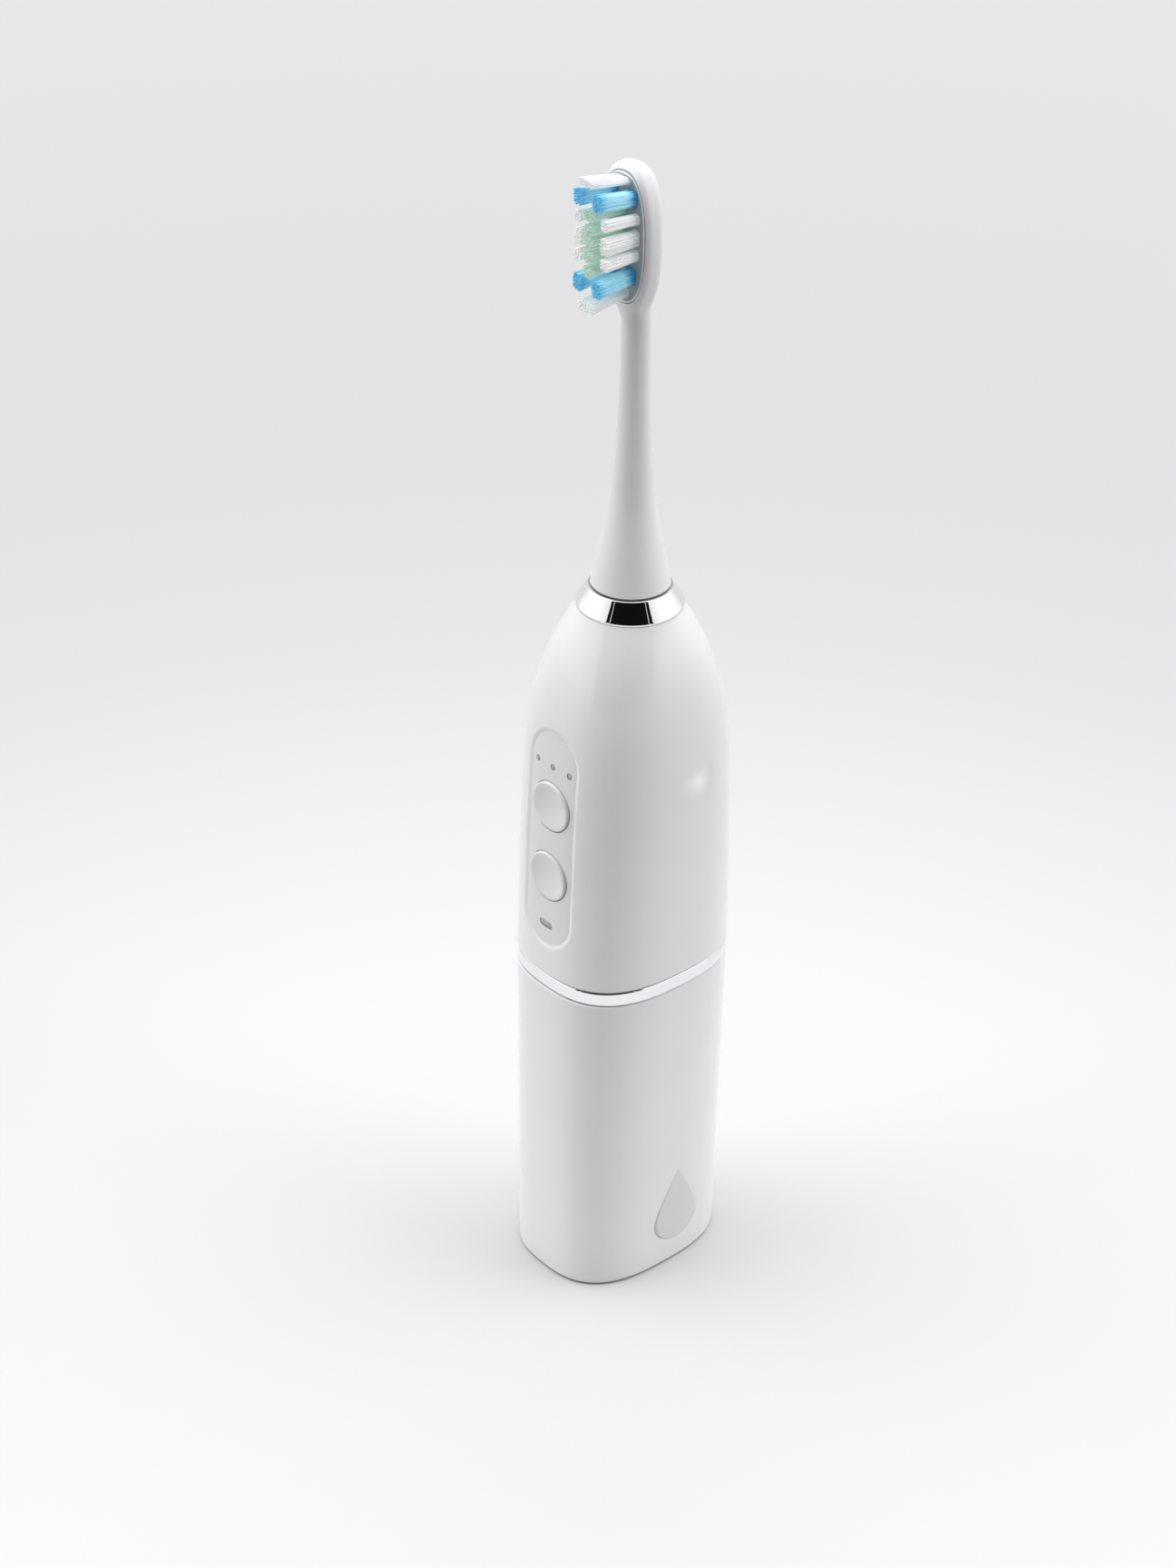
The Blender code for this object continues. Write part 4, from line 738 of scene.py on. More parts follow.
def make_well():
    inner = tuple(half - THIN_WALL for half in WELL_HALF)
    flange = tuple(half - DOCK_WALL - 0.3 * MM for half in DOCK_FOOT_HALF)
    post_bottom = WELL_LOW.z
    cup_bottom = SHANK_LOW.z - SLIDE - THIN_WALL
    sections = [
        (WELL_HALF, cup_bottom), (WELL_HALF, WELL_HIGH.z - FLANGE), (flange, WELL_HIGH.z - FLANGE),
        (flange, WELL_HIGH.z), (inner, WELL_HIGH.z), (inner, cup_bottom + THIN_WALL),
    ]
    well_mesh = swept("well_cup", sections, 0.4 * MM)
    well = piece("well_cup", well_mesh, "dock", "satin_white", "dock_well")
    for number, (x, y) in enumerate([(a * 7.6, b * 10.8) for a in (-1, 1) for b in (-1, 1)], 1):
        height = cup_bottom - post_bottom + 0.2 * MM
        hole, rim = 1.15 * MM, 2.1 * MM
        post_profile = rounded([(hole, 0.0), (rim, 0.0), (rim, height), (hole, height)], 0.15 * MM)
        post_mesh = lathe(f"well_post_{number}", post_profile, (x * MM, y * MM, post_bottom), 32)
        piece(f"well_post_{number}", post_mesh, "dock", "satin_white")
    return well


def make_shank():
    edge = 0.9 * MM
    foot = tuple(half - edge for half in SHANK_HALF)
    inner = tuple(half - THIN_WALL for half in SHANK_HALF)
    flange = (SHANK_HIGH.x, SHANK_HIGH.y)
    flange_bottom = SHANK_HIGH.z - FLANGE
    sections = [
        (foot, SHANK_LOW.z), (SHANK_HALF, SHANK_LOW.z + edge), (SHANK_HALF, flange_bottom),
        (flange, flange_bottom), (flange, SHANK_HIGH.z), (inner, SHANK_HIGH.z),
        (inner, SHANK_LOW.z + THIN_WALL),
    ]
    shank_mesh = swept("shank", sections, 0.5 * MM)
    shank = piece("shank", shank_mesh, "handle", "satin_white", "shank_shell")
    rib_boxes = []
    for side in (-1, 1):
        x = side * SHANK_HALF[0]
        low_corner = (x - 0.25 * MM, -1.0 * MM, SHANK_LOW.z + 3 * MM)
        rib_boxes.append((low_corner, (x + 0.25 * MM, 1.0 * MM, BAND_LOW.z - MM)))
    piece("shank_ribs", bars("shank_ribs", rib_boxes, 0.12 * MM), "handle", "satin_white")
    return shank


print("well:", len(make_well().data.polygons), "shank:", len(make_shank().data.polygons), "faces")

# %% [markdown]
# ## The handle's shell and its control pad
#
# The shell's section stays nearly the same from the band to the hips, then closes over the
# shoulder into the round collar. One formula gives the section at any height, so the pad,
# the buttons and the lamps can all be laid on the same curved front.
#
# The pad lies in a shallow recess with a soft lip. A Boolean cut would leave a hard edge, so
# the lip is part of the surface itself: each point of the front moves inwards by an amount
# that depends on its distance from the pad's outline. The mesh is only dense where the lip is.

# %% Shell formula
HANDLE_HALF = (SHELL_HIGH.x, SHELL_HIGH.y)
HANDLE_TAPER = (0.6 * MM, 2.5 * MM)
HANDLE_POWER = 2.68
RING_RADIUS = RING_HIGH.x
SHOULDER = 49.0 * MM
SHELL_WALL = 1.8 * MM


def handle_section(height):
    """Half sizes and power of the handle's section at a height above the shell's lower edge."""
    rise = min(max((SHELL_HEIGHT - height) / SHOULDER, 0.0), 1.0)
    fullness = (1 - (1 - rise) ** 4.2) ** 1.1
    up = height / SHELL_HEIGHT
    half = [
        RING_RADIUS + (full - RING_RADIUS - taper * up) * fullness
        for full, taper in zip(HANDLE_HALF, HANDLE_TAPER)
    ]
    return half, 2 + (HANDLE_POWER - 2) * fullness


def front(x, height):
    """The y of the shell's untouched front at a side place and height."""
    half, power = handle_section(height)
    share = np.minimum(np.abs(x) / half[0], 0.999)
    return -half[1] * (1 - share**power) ** (1 / power)


# %% Pad recess
PAD_WIDTH = PAD_HIGH.x - PAD_LOW.x
PAD_LENGTH = PAD_HIGH.z - PAD_LOW.z
PAD_MIDDLE = (PAD_LOW.z + PAD_HIGH.z) / 2 - SHELL_BOTTOM
LIP_WIDTH = 1.1 * MM
PAD_SUNK = 0.35 * MM
BUTTON_RADIUS = 5.0 * MM
BUTTON_GAP = 0.15 * MM
MOAT_WIDTH = 0.4 * MM
MOAT_DEPTH = 0.08 * MM


def centre_of(node):
    low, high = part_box(node)
    return (low + high) / 2, high - low


BUTTONS = {name: centre_of(name)[0] for name in ("mode_button", "power_button")}


def outside_pad(x, height):
    """Signed distance from the pad's outline, seen from the front: negative inside it."""
    straight = PAD_LENGTH / 2 - PAD_WIDTH / 2
    beyond = np.maximum(np.abs(height - PAD_MIDDLE) - straight, 0.0)
    return np.hypot(x, beyond) - PAD_WIDTH / 2


def sink(x, height):
    """How far the surface lies inside the untouched front: 0 beyond the lip, full depth on the pad,
    and a hair deeper in the shallow groove round each button."""
    share = np.clip(-outside_pad(x, height) / LIP_WIDTH, 0.0, 1.0)
    depth = PAD_SUNK * share * share * (3 - 2 * share)
    for at in BUTTONS.values():
        beyond = np.hypot(x, height - (at.z - SHELL_BOTTOM)) - BUTTON_RADIUS
        depth = depth + MOAT_DEPTH * np.clip(1 - beyond / MOAT_WIDTH, 0.0, 1.0) ** 2
    return depth


# %% Shell mesh
EDGE_RISE, RIM_DROP = 0.7 * MM, 0.5 * MM


def shell_turns():
    """Turns round the shell, close together where the pad's lip runs and wider elsewhere."""
    reach, hole = PAD_WIDTH / 2 + 1.6 * MM, BUTTON_RADIUS + BUTTON_GAP
    xs = np.concatenate((
        np.linspace(-reach, -hole, 26), np.linspace(-BUTTON_RADIUS, BUTTON_RADIUS, 61),
        np.linspace(hole, reach, 26),
    ))
    lean = np.arcsin((np.abs(xs) / HANDLE_HALF[0]) ** (HANDLE_POWER / 2)) * np.sign(xs)
    dense = -np.pi / 2 + lean
    rest = np.linspace(dense[-1], dense[0] + 2 * np.pi, 92)[1:-1]
    return np.concatenate((dense, rest))


def shell_heights():
    """Heights of the shell's rings, close together beside the pad."""
    low, high = PAD_MIDDLE - PAD_LENGTH / 2, PAD_MIDDLE + PAD_LENGTH / 2
    return np.concatenate((
        np.linspace(EDGE_RISE, low - 1.0 * MM, 6),
        np.linspace(low - 0.8 * MM, high + 0.8 * MM, 300),
        np.linspace(high + 1.2 * MM, SHELL_HEIGHT - RIM_DROP, 40),
    ))


def shell_ring(inset, height, turns, with_pad=False):
    half, power = handle_section(height)
    points = superellipse(half[0] - inset, half[1] - inset, power, turns)
    if with_pad:
        facing = points[:, 1] < 0
        points[:, 1] += np.where(facing, sink(points[:, 0], height), 0.0)
    return ring_at(points, SHELL_BOTTOM + height)


def make_shell():
    turns, top = shell_turns(), SHELL_HEIGHT
    edge_line = [(SHELL_WALL, 0.0), (0.0, 0.0), (0.0, EDGE_RISE)]
    rim_line = [(0.0, top - RIM_DROP), (0.0, top), (SHELL_WALL, top)]
    edge = rounded(edge_line, 0.28 * MM, 4, 0.1 * MM, False)[:-1]
    rim = rounded(rim_line, 0.15 * MM, 3, 0.1 * MM, False)[1:]
    rings = [shell_ring(inset, z, turns) for inset, z in edge]
    rings += [shell_ring(0.0, z, turns, True) for z in shell_heights()]
    rings += [shell_ring(inset, z, turns) for inset, z in rim]
    rings += [shell_ring(SHELL_WALL, z, turns) for z in np.linspace(top, 0.0, 16)[1:-1]]
    return loft("handle_shell", rings)


handle_shell = piece("handle_shell", make_shell(), "handle", "gloss_white", "upper_shell")
print("shell before cutting:", len(handle_shell.data.polygons), "faces")

# %% [markdown]
# ## Pad, buttons and lamps
#
# The pad is a soft second shot in the recess. Its mesh follows its own outline: every row
# spans the pad's width at that height, so both round ends come out clean. Thickness comes
# from Solidify, and the openings are cut through pad and shell together so that they line up.

# %% Openings
def disc(x, z, radius, sides=48):
    turns = even_turns(sides) + math.pi / sides
    return [(x + radius * math.cos(turn), z + radius * math.sin(turn)) for turn in turns]


LAMP_CENTRE = centre_of("mode_light_pipe")[0]
LAMP_PITCH = 4.45 * MM
LAMP_RADIUS = 0.6 * MM
CHARGE_CENTRE, CHARGE_SIZE = centre_of("charge_lens")
openings = [disc(0.0, at.z, BUTTON_RADIUS + BUTTON_GAP, 96) for at in BUTTONS.values()]
openings += [disc(step * LAMP_PITCH, LAMP_CENTRE.z, LAMP_RADIUS + 0.04 * MM) for step in (-1, 0, 1)]
charge_window = stadium(CHARGE_SIZE.x + 0.1 * MM, CHARGE_SIZE.z + 0.1 * MM)
openings.append([(x, z + CHARGE_CENTRE.z) for x, z in charge_window])


def pad_mesh(inset, rows=260, columns=90):
    """The pad's upper face: a grid whose rows end on the outline, which lies inset inside the lip."""
    radius = PAD_WIDTH / 2 - inset
    straight = PAD_LENGTH / 2 - PAD_WIDTH / 2
    lean = np.linspace(-math.pi / 2, math.pi / 2, 25)
    heights = np.concatenate((
        -straight + radius * np.sin(lean[:13]), np.linspace(-straight, straight, rows)[1:-1],
        straight + radius * np.sin(lean[12:]),
    ))
    points = []
    for height in heights:
        beyond = max(abs(height) - straight, 0.0)
        width = math.sqrt(max(radius**2 - beyond**2, 0.0))
        x = np.linspace(-1, 1, columns) * max(width, 0.02 * MM)
        z = height + PAD_MIDDLE
        y = front(x, z) + np.maximum(sink(x, z), PAD_SUNK) - 0.03 * MM
        points += [(a, b, SHELL_BOTTOM + z) for a, b in zip(x, y)]
    mesh = mesh_from("pad_face", points, grid_faces(len(heights), columns))
    mesh.shade_smooth()
    return mesh


def make_pad():
    pad = piece("pad_face", pad_mesh(LIP_WIDTH - 0.1 * MM), "handle", "soft_white", "control_pad")
    solid = pad.modifiers.new("thickness", "SOLIDIFY")
    solid.thickness = 0.5 * MM
    solid.offset = -1.0
    return pad


control_pad = make_pad()
for made in (handle_shell, control_pad):
    cut_with(made, punches("openings", openings, -25 * MM, -8 * MM))
print("openings cut:", len(openings))


# %% [markdown]
# ## Buttons
#
# Each cap is a dished disc: its rim is round, its face sinks towards the middle so that a
# fingertip finds it, and a flange behind the wall keeps it in. It is a turned shape, so one
# profile is enough; the profile is drawn along Z and the mesh is then turned to face front.

# %% Button caps
DISH = 0.55 * MM
CAP_EDGE = 0.3 * MM
FLANGE_REACH = 0.75 * MM


def flange_depth(height):
    """How far behind a cap's rim its flange clears the inside of the curved wall."""
    turns = even_turns(48)
    reach = BUTTON_RADIUS + FLANGE_REACH
    rim = [float(front(reach * math.cos(turn), height + reach * math.sin(turn))) for turn in turns]
    return max(rim) - float(front(0.0, height)) + SHELL_WALL + 0.3 * MM


def button_profile(flange_at, behind):
    """(radius, height) points; height 0 is the cap's rim and negative heights go into the handle."""
    inside = BUTTON_RADIUS - 2.0 * CAP_EDGE
    dish = [(inside * part, -DISH * (1 - part**2)) for part in (0.0, 0.2, 0.4, 0.6, 0.75, 0.88, 1.0)]
    crest = [(BUTTON_RADIUS - 1.2 * CAP_EDGE, 0.0)]
    for step in range(7):
        turn = math.pi / 2 * step / 6
        crest.append((BUTTON_RADIUS - CAP_EDGE * (1 - math.sin(turn)), -CAP_EDGE * (1 - math.cos(turn))))
    flange = BUTTON_RADIUS + FLANGE_REACH
    flange_back = -flange_at - 0.7 * MM
    stem = 1.2 * MM
    tail = [
        (BUTTON_RADIUS, -CAP_EDGE - 0.2 * MM), (BUTTON_RADIUS, -flange_at), (flange, -flange_at),
        (flange, flange_back), (stem, flange_back), (stem, -behind), (AXIS, -behind),
    ]
    return [(AXIS, dish[0][1])] + dish[1:] + crest + tail


def make_button(name, at):
    rim = float(front(0.0, at.z - SHELL_BOTTOM))
    profile = button_profile(flange_depth(at.z - SHELL_BOTTOM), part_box(name)[1].y - rim)
    mesh = lathe(name + "_cap", profile, (0.0, 0.0, 0.0), 96, "caps")
    mesh.transform(Matrix.Translation((0.0, rim, at.z)) @ Matrix.Rotation(math.pi / 2, 4, "X"))
    return piece(name + "_cap", mesh, name, "soft_white", name)


for button_name, button_at in BUTTONS.items():
    make_button(button_name, button_at)
print("buttons:", ", ".join(BUTTONS))


# %% Lamps
def make_lamps():
    """Three round lamp windows and the longer charge lamp, slightly domed, just below the pad."""
    windows = []
    for step in (-1, 0, 1):
        x = step * LAMP_PITCH
        windows.append((f"mode_lamp_{step + 2}", disc(0.0, 0.0, LAMP_RADIUS, 32), x, LAMP_CENTRE.z))
    charge = stadium(CHARGE_SIZE.x, CHARGE_SIZE.z)
    windows.append(("charge_lamp", charge, 0.0, CHARGE_CENTRE.z))
    for name, outline, x, z in windows:
        face = float(front(x, z - SHELL_BOTTOM)) + PAD_SUNK + 0.02 * MM
        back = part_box("charge_lens")[1].y
        shares = ((0.02, -0.06), (0.5, -0.045), (0.85, 0.0), (1.0, 0.08), (1.0, 0.5))
        rings = [[(x + a * s, face + d * MM, z + b * s) for a, b in outline] for s, d in shares]
        rings.append([(x + a, back, z + b) for a, b in outline])
        replaced = "charge_lens" if name == "charge_lamp" else "mode_light_pipe"
        piece(name, loft(name, rings, "caps"), "handle", "clear_lens", replaced)
    return len(windows)


print("lamps:", make_lamps())

# %% [markdown]
# ## Chrome band and collar
#
# Chrome is all reflection, so its shape decides everything: the band bulges by a tenth of a
# millimetre and both edges roll over, which draws the thin dark and bright lines that make it
# read as metal. The collar is a turned cone with a flat top rim.

# %% Chrome pieces
BAND_HALF = (BAND_HIGH.x, BAND_HIGH.y)


def make_band():
    """The band, bulged outside, with a groove behind its upper edge where the shell stands."""
    height = BAND_HIGH.z - BAND_LOW.z
    bulge = [(0.16, 0.0), (0.03, 0.1), (0.0, 0.3), (0.0, 0.7), (0.03, 0.9), (0.16, 1.0)]
    outside = [(inset * MM, BAND_LOW.z + height * share) for inset, share in bulge]
    inner = 5.2 * MM
    lip, lip_foot = 0.28 * MM, 0.34 * MM
    trench = BAND_HIGH.z - 0.55 * MM
    behind = [(lip, BAND_HIGH.z), (lip_foot, trench), (inner, trench)]
    rings = []
    for inset, z in rounded([(inner, BAND_LOW.z)] + outside + behind, 0.10 * MM, 3, 0.1 * MM):
        half = [size - inset for size in BAND_HALF]
        if inset > inner - 0.5 * MM:
            half = [size + 0.35 * MM - (inset - inner) for size in SHANK_HALF]
        power = HANDLE_POWER if inset < inner / 2 else DOCK_POWER
        rings.append(ring_at(superellipse(*half, power, even_turns(160)), z))
    return piece("chrome_band", loft("chrome_band", rings), "handle", "chrome", "trim_band")


def make_collar():
    low, high = RING_LOW.z, RING_HIGH.z
    cone_foot = SHELL_HIGH.z + 0.12 * MM
    hole = SEAL_HIGH.x + 0.3 * MM
    top = HEAD_HIGH.x + 0.4 * MM
    spigot = RING_RADIUS - SHELL_WALL - 0.6 * MM
    waist = (RING_RADIUS * 0.55 + top * 0.45, cone_foot + (high - cone_foot) * 0.5)
    profile = [
        (hole, high), (top - 0.05 * MM, high), waist, (RING_RADIUS, cone_foot + 0.35 * MM),
        (RING_RADIUS, cone_foot), (spigot, cone_foot), (spigot, low), (hole, low),
    ]
    radii = [0.1 * MM, 0.16 * MM, 2.0 * MM, 0.2 * MM] + [0.1 * MM] * 4
    mesh = lathe("chrome_collar", rounded(profile, radii, 5, 0.1 * MM), (0.0, 0.0, 0.0), 160)
    return piece("chrome_collar", mesh, "handle", "chrome", "neck_ring")


print("band:", len(make_band().data.polygons), "collar:", len(make_collar().data.polygons), "faces")

# %% [markdown]
# ## Shaft and seal
#
# Pulling the brush head off shows the drive shaft and the rubber bellows round it. The shaft
# is turned steel with a flat milled near its tip, which keys the brush head.

# %% Shaft and seal
SHAFT_LOW, SHAFT_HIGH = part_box("drive_shaft")
SHAFT_RADIUS = 1.5 * MM


def make_shaft():
    profile = [(SHAFT_RADIUS, SHAFT_LOW.z), (SHAFT_RADIUS, SHAFT_HIGH.z), (AXIS, SHAFT_HIGH.z)]
    outline = [(AXIS, SHAFT_LOW.z)] + rounded(profile, [0.0, 0.35 * MM, 0.0], 4, closed=False)
    shaft_mesh = lathe("shaft", outline, (0.0, 0.0, 0.0), 64, "caps")
    shaft = piece("shaft", shaft_mesh, "drive", "steel", "drive_shaft")
    flat_low = (-3 * MM, SHAFT_RADIUS - 0.5 * MM, SHAFT_HIGH.z - 12 * MM)
    return cut_with(shaft, bars("flat", [(flat_low, (3 * MM, 5 * MM, SHAFT_HIGH.z + MM))]))


def make_seal():
    inner, outer = 1.8 * MM, SEAL_HIGH.x
    low, top = SEAL_LOW.z, SEAL_HIGH.z
    fold = (outer - inner) / 3
    profile = [
        (inner, top), (inner + fold, top), (inner + 1.5 * fold, top - 1.5 * MM),
        (inner + 2 * fold, top - 0.7 * MM), (outer, top - 2.3 * MM), (outer, low), (inner, low),
    ]
    mesh = lathe("shaft_bellows", rounded(profile, 0.35 * MM, 4, 0.05 * MM), (0.0, 0.0, 0.0), 96)
    return piece("shaft_bellows", mesh, "handle", "rubber", "shaft_seal")


print("shaft:", len(make_shaft().data.polygons), "seal:", len(make_seal().data.polygons), "faces")

# %% [markdown]
# ## The brush head
#
# Neck and head are one moulding: a slim cone that swells into a flat oval. No primitive
# makes that, and subdividing a cage would need much nudging, so the section is a formula
# again: round in the neck, wide and flat-fronted in the head, and blended in between.

# %% Head formula
NECK_RADII = (
    (0.0, 7.44), (3.6, 6.71), (7.2, 5.99), (10.8, 5.23), (14.4, 4.56), (18.0, 4.08), (22.5, 3.68),
    (29.0, 3.26), (38.0, 2.86), (50.0, 2.67),
)
HEAD_LENGTH = HEAD_HIGH.z - HEAD_LOW.z
OVAL_LENGTH = 26.4 * MM
OVAL_HALF_WIDTH = 6.6 * MM
OVAL_FRONT, OVAL_BACK, OVAL_MIDDLE = 4.1 * MM, 1.9 * MM, 1.5 * MM
OVAL_POWER = 2.4
OVAL_CENTRE = HEAD_LENGTH - OVAL_LENGTH / 2


def neck_radius(height):
    """Radius of the neck, on a smooth curve through the listed heights and radii in millimetres."""
    heights, radii = zip(*NECK_RADII)
    here = min(height / MM, heights[-1])
    slopes = np.gradient(radii, heights)
    i = min(int(np.searchsorted(heights, here, side="right")) - 1, len(heights) - 2)
    span = heights[i + 1] - heights[i]
    t = (here - heights[i]) / span
    curve = radii[i] * (2 * t**3 - 3 * t**2 + 1) + slopes[i] * span * (t**3 - 2 * t**2 + t)
    curve += radii[i + 1] * (3 * t**2 - 2 * t**3) + slopes[i + 1] * span * (t**3 - t**2)
    return curve * MM


def smooth(value):
    value = min(max(value, 0.0), 1.0)
    return value * value * (3 - 2 * value)


def head_ring(height, sides):
    """One ring of the head at a height above its lower edge."""
    radius = neck_radius(height)
    along = min(abs(height - OVAL_CENTRE) / (OVAL_LENGTH / 2), 1.0)
    oval = OVAL_HALF_WIDTH * (1 - along**OVAL_POWER) ** (1 / OVAL_POWER)
    share = smooth((height - (OVAL_CENTRE - OVAL_LENGTH / 2) + 3 * MM) / (7 * MM))
    beyond = max(0.0, (height - OVAL_CENTRE) / (OVAL_LENGTH / 2))
    tip = (1 - min(beyond, 1.0) ** 6) ** 0.5
    stem = radius if height < OVAL_CENTRE else 0.0
    half_width = (stem**4 + oval**4) ** 0.25
    middle = -OVAL_MIDDLE * share
    front_depth = radius + (OVAL_FRONT - OVAL_MIDDLE - radius) * share
    back_depth = radius + (OVAL_BACK + OVAL_MIDDLE - radius) * share
    turns = 2 * np.pi * (np.arange(sides) + 0.5) / sides
    c, s = np.cos(turns), np.sin(turns)
    behind = s > 0
    power = np.where(behind, 2 + 0.3 * share, 2 + 2.6 * share)
    depth = np.where(behind, back_depth, front_depth)
    x = half_width * np.sign(c) * np.abs(c) ** (2 / power)
    y = middle + depth * tip * np.sign(s) * np.abs(s) ** (2 / power)
    return np.column_stack((x, y, np.full(sides, HEAD_LOW.z + height)))


# %% Head body
PLATE_MIDDLE = (PLATE_LOW.z + PLATE_HIGH.z) / 2
PLATE_POWER = 2.5
PLATE_SIDES = 96


def plate_ring(grow, y):
    """The bristle plate's oval at a place along Y, grown outwards by an amount."""
    half = ((PLATE_HIGH.x - PLATE_LOW.x) / 2 + grow, (PLATE_HIGH.z - PLATE_LOW.z) / 2 + grow)
    outline = superellipse(*half, PLATE_POWER, even_turns(PLATE_SIDES))
    return [(x, y, z + PLATE_MIDDLE) for x, z in outline]


def make_head():
    rise = np.linspace(0.5 * MM, OVAL_CENTRE, 90)
    crown = OVAL_CENTRE + (OVAL_LENGTH / 2 - 0.004 * MM) * np.sin(np.linspace(0, math.pi / 2, 40))[1:]
    rings = [head_ring(0.0, 96) * (0.985, 0.985, 1.0), head_ring(0.12 * MM, 96)]
    rings += [head_ring(height, 96) for height in np.concatenate((rise, crown))]
    head_mesh = loft("head_moulding", rings, "caps")
    head = piece("head_moulding", head_mesh, "brush_head", "satin_white", "head_body")
    pocket = (
        (0.12, PLATE_HIGH.y + 2 * MM), (0.12, PLATE_LOW.y - 0.12 * MM),
        (0.5, PLATE_LOW.y - 0.5 * MM), (0.5, PLATE_LOW.y - 3 * MM),
    )
    cut_with(head, loft("pocket", [plate_ring(grow * MM, y) for grow, y in pocket], "caps"))
    socket = [
        (AXIS, 19.5 * MM), (2.8 * MM, 19.5 * MM), (2.8 * MM, 8.6 * MM), (5.7 * MM, 4.6 * MM),
        (5.7 * MM, -1.0 * MM), (AXIS, -1.0 * MM),
    ]
    return cut_with(head, lathe("socket", socket, (0.0, 0.0, HEAD_LOW.z), 64, "caps"))


print("head:", len(make_head().data.polygons), "faces")

# %% [markdown]
# ## Bristle plate
#
# The plate drops into the head with a fine raised bead round its edge. Its profile is swept
# round the oval like the lip of a plate, and the tuft holes are cut through it in one go. The
# bead keeps the casing's gloss white; the field inside it is painted a matt grey, which is
# painted shade for the dark that falls between the tufts and down into the recess.

# %% Tuft places
# Each tuft, in millimetres from the plate's middle: x, z, half width, half height, length.
WHITE_TUFTS = [
    (side * 3.4, height, 0.95, half, 7.0)
    for side in (-1, 1)
    for height, half in ((4.2, 1.0), (0.85, 1.45), (-2.2, 1.0))
]
WHITE_TUFTS += [(0.0, 10.3, 2.0, 0.72, 8.0), (0.0, -9.7, 2.0, 0.9, 7.8)]
BLUE_TUFTS = [(side * 2.45, height, 1.2, 1.45, 7.8) for side in (-1, 1) for height in (7.6, -6.2)]
GREEN_TUFTS = [(0.0, 0.5 + 2.3 * step, 0.85, 0.9, 7.5) for step in (-2, -1, 0, 1, 2)]
TUFT_POWER = 3.2
HOLE_ROOM = 0.1


def hole_outline(tuft, sides=28):
    """A tuft hole, a little wider than its tuft, as (x, z) points."""
    x, z, half_x, half_z, _ = tuft
    turns = even_turns(sides) + math.pi / sides
    points = superellipse(half_x + HOLE_ROOM, half_z + HOLE_ROOM, TUFT_POWER, turns)
    return [((x + a) * MM, (z + b) * MM + PLATE_MIDDLE) for a, b in points]


# %% Plate
BEAD_RINGS = (1, 2, 3)


def make_plate():
    face, back = PLATE_LOW.y, PLATE_HIGH.y
    steps = [
        (0.0, back), (0.0, face + 0.1 * MM), (0.08, face), (0.28, face),
        (0.42, face + 0.14 * MM), (0.8, face + 0.16 * MM),
    ]
    mesh = loft("plate", [plate_ring(-inset * MM, y) for inset, y in steps], "caps", 60)
    mesh.materials.append(GLOSS)
    mesh.materials.append(PLATE_PAINTED_SHADE_GREY)
    # The bead rings keep the white gloss; every other ring gets the grey of painted shade.
    for number, polygon in enumerate(mesh.polygons):
        polygon.material_index = 0 if number // PLATE_SIDES in BEAD_RINGS else 1
    plate = piece("plate", mesh, "brush_head", "gloss_white", "bristle_plate")
    holes = [hole_outline(tuft) for tuft in WHITE_TUFTS + BLUE_TUFTS + GREEN_TUFTS]
    return cut_with(plate, punches("holes", holes, face - 2 * MM, face + 0.9 * MM))


print("plate:", len(make_plate().data.polygons), "faces")

# %% [markdown]
# ## Tufts
#
# A tuft is some hundred nylon filaments folded into one hole. Hair particles could do it, but
# they don't leave this program as meshes, so every filament is a thin six-sided rod with a
# rounded tip, set on a honeycomb grid inside the tuft's outline. The tufts lean outwards a
# little towards the head's two ends, and each filament wanders by a hair's breadth.

# %% Filaments
FILAMENT_RADIUS = 0.105
PITCH = 0.205
ROW_PITCH = PITCH * 0.866
TUFT_ROOT = 0.7
LEAN = 0.75
WANDER, TRIM = 0.012, 0.05
FAN, WIDE_FAN = (0.012, 0.012), (0.125, 0.035)


def honeycomb(half_x, half_z):
    """Filament places in millimetres on a triangular grid inside a rounded rectangle."""
    places = []
    rows = int(half_z / ROW_PITCH) + 1
    columns = int(half_x / PITCH) + 1
    for row in range(-rows, rows + 1):
        for column in range(-columns, columns + 1):
            x = (column + 0.5 * (row % 2)) * PITCH
            z = row * ROW_PITCH
            room_x, room_z = half_x - FILAMENT_RADIUS, half_z - FILAMENT_RADIUS
            if abs(x / room_x) ** TUFT_POWER + abs(z / room_z) ** TUFT_POWER <= 1:
                places.append((x, z))
    return places


def rod(points, faces, start, end, radius, sides=6):
    """Adds one filament: a rod from start to end with a rounded tip."""
    direction = (end - start).normalized()
    across = direction.cross(Vector((0, 0, 1))).normalized()
    upward = direction.cross(across)
    length = (end - start).length
    first = len(points)
    for along, share in ((0.0, 1.0), (length - 0.12 * MM, 1.0), (length - 0.03 * MM, 0.72)):
        for step in range(sides):
            turn = 2 * math.pi * step / sides
            offset = across * math.cos(turn) + upward * math.sin(turn)
            points.append(start + direction * along + offset * radius * share)
    points.append(end)
    tip = len(points) - 1
    for level in range(2):
        for step in range(sides):
            a, b = first + level * sides + step, first + level * sides + (step + 1) % sides
            faces.append((a, b, b + sides, a + sides))
    for step in range(sides):
        a, b = first + 2 * sides + step, first + 2 * sides + (step + 1) % sides
        faces.append((a, b, tip))
    faces.append(tuple(reversed(range(first, first + sides))))


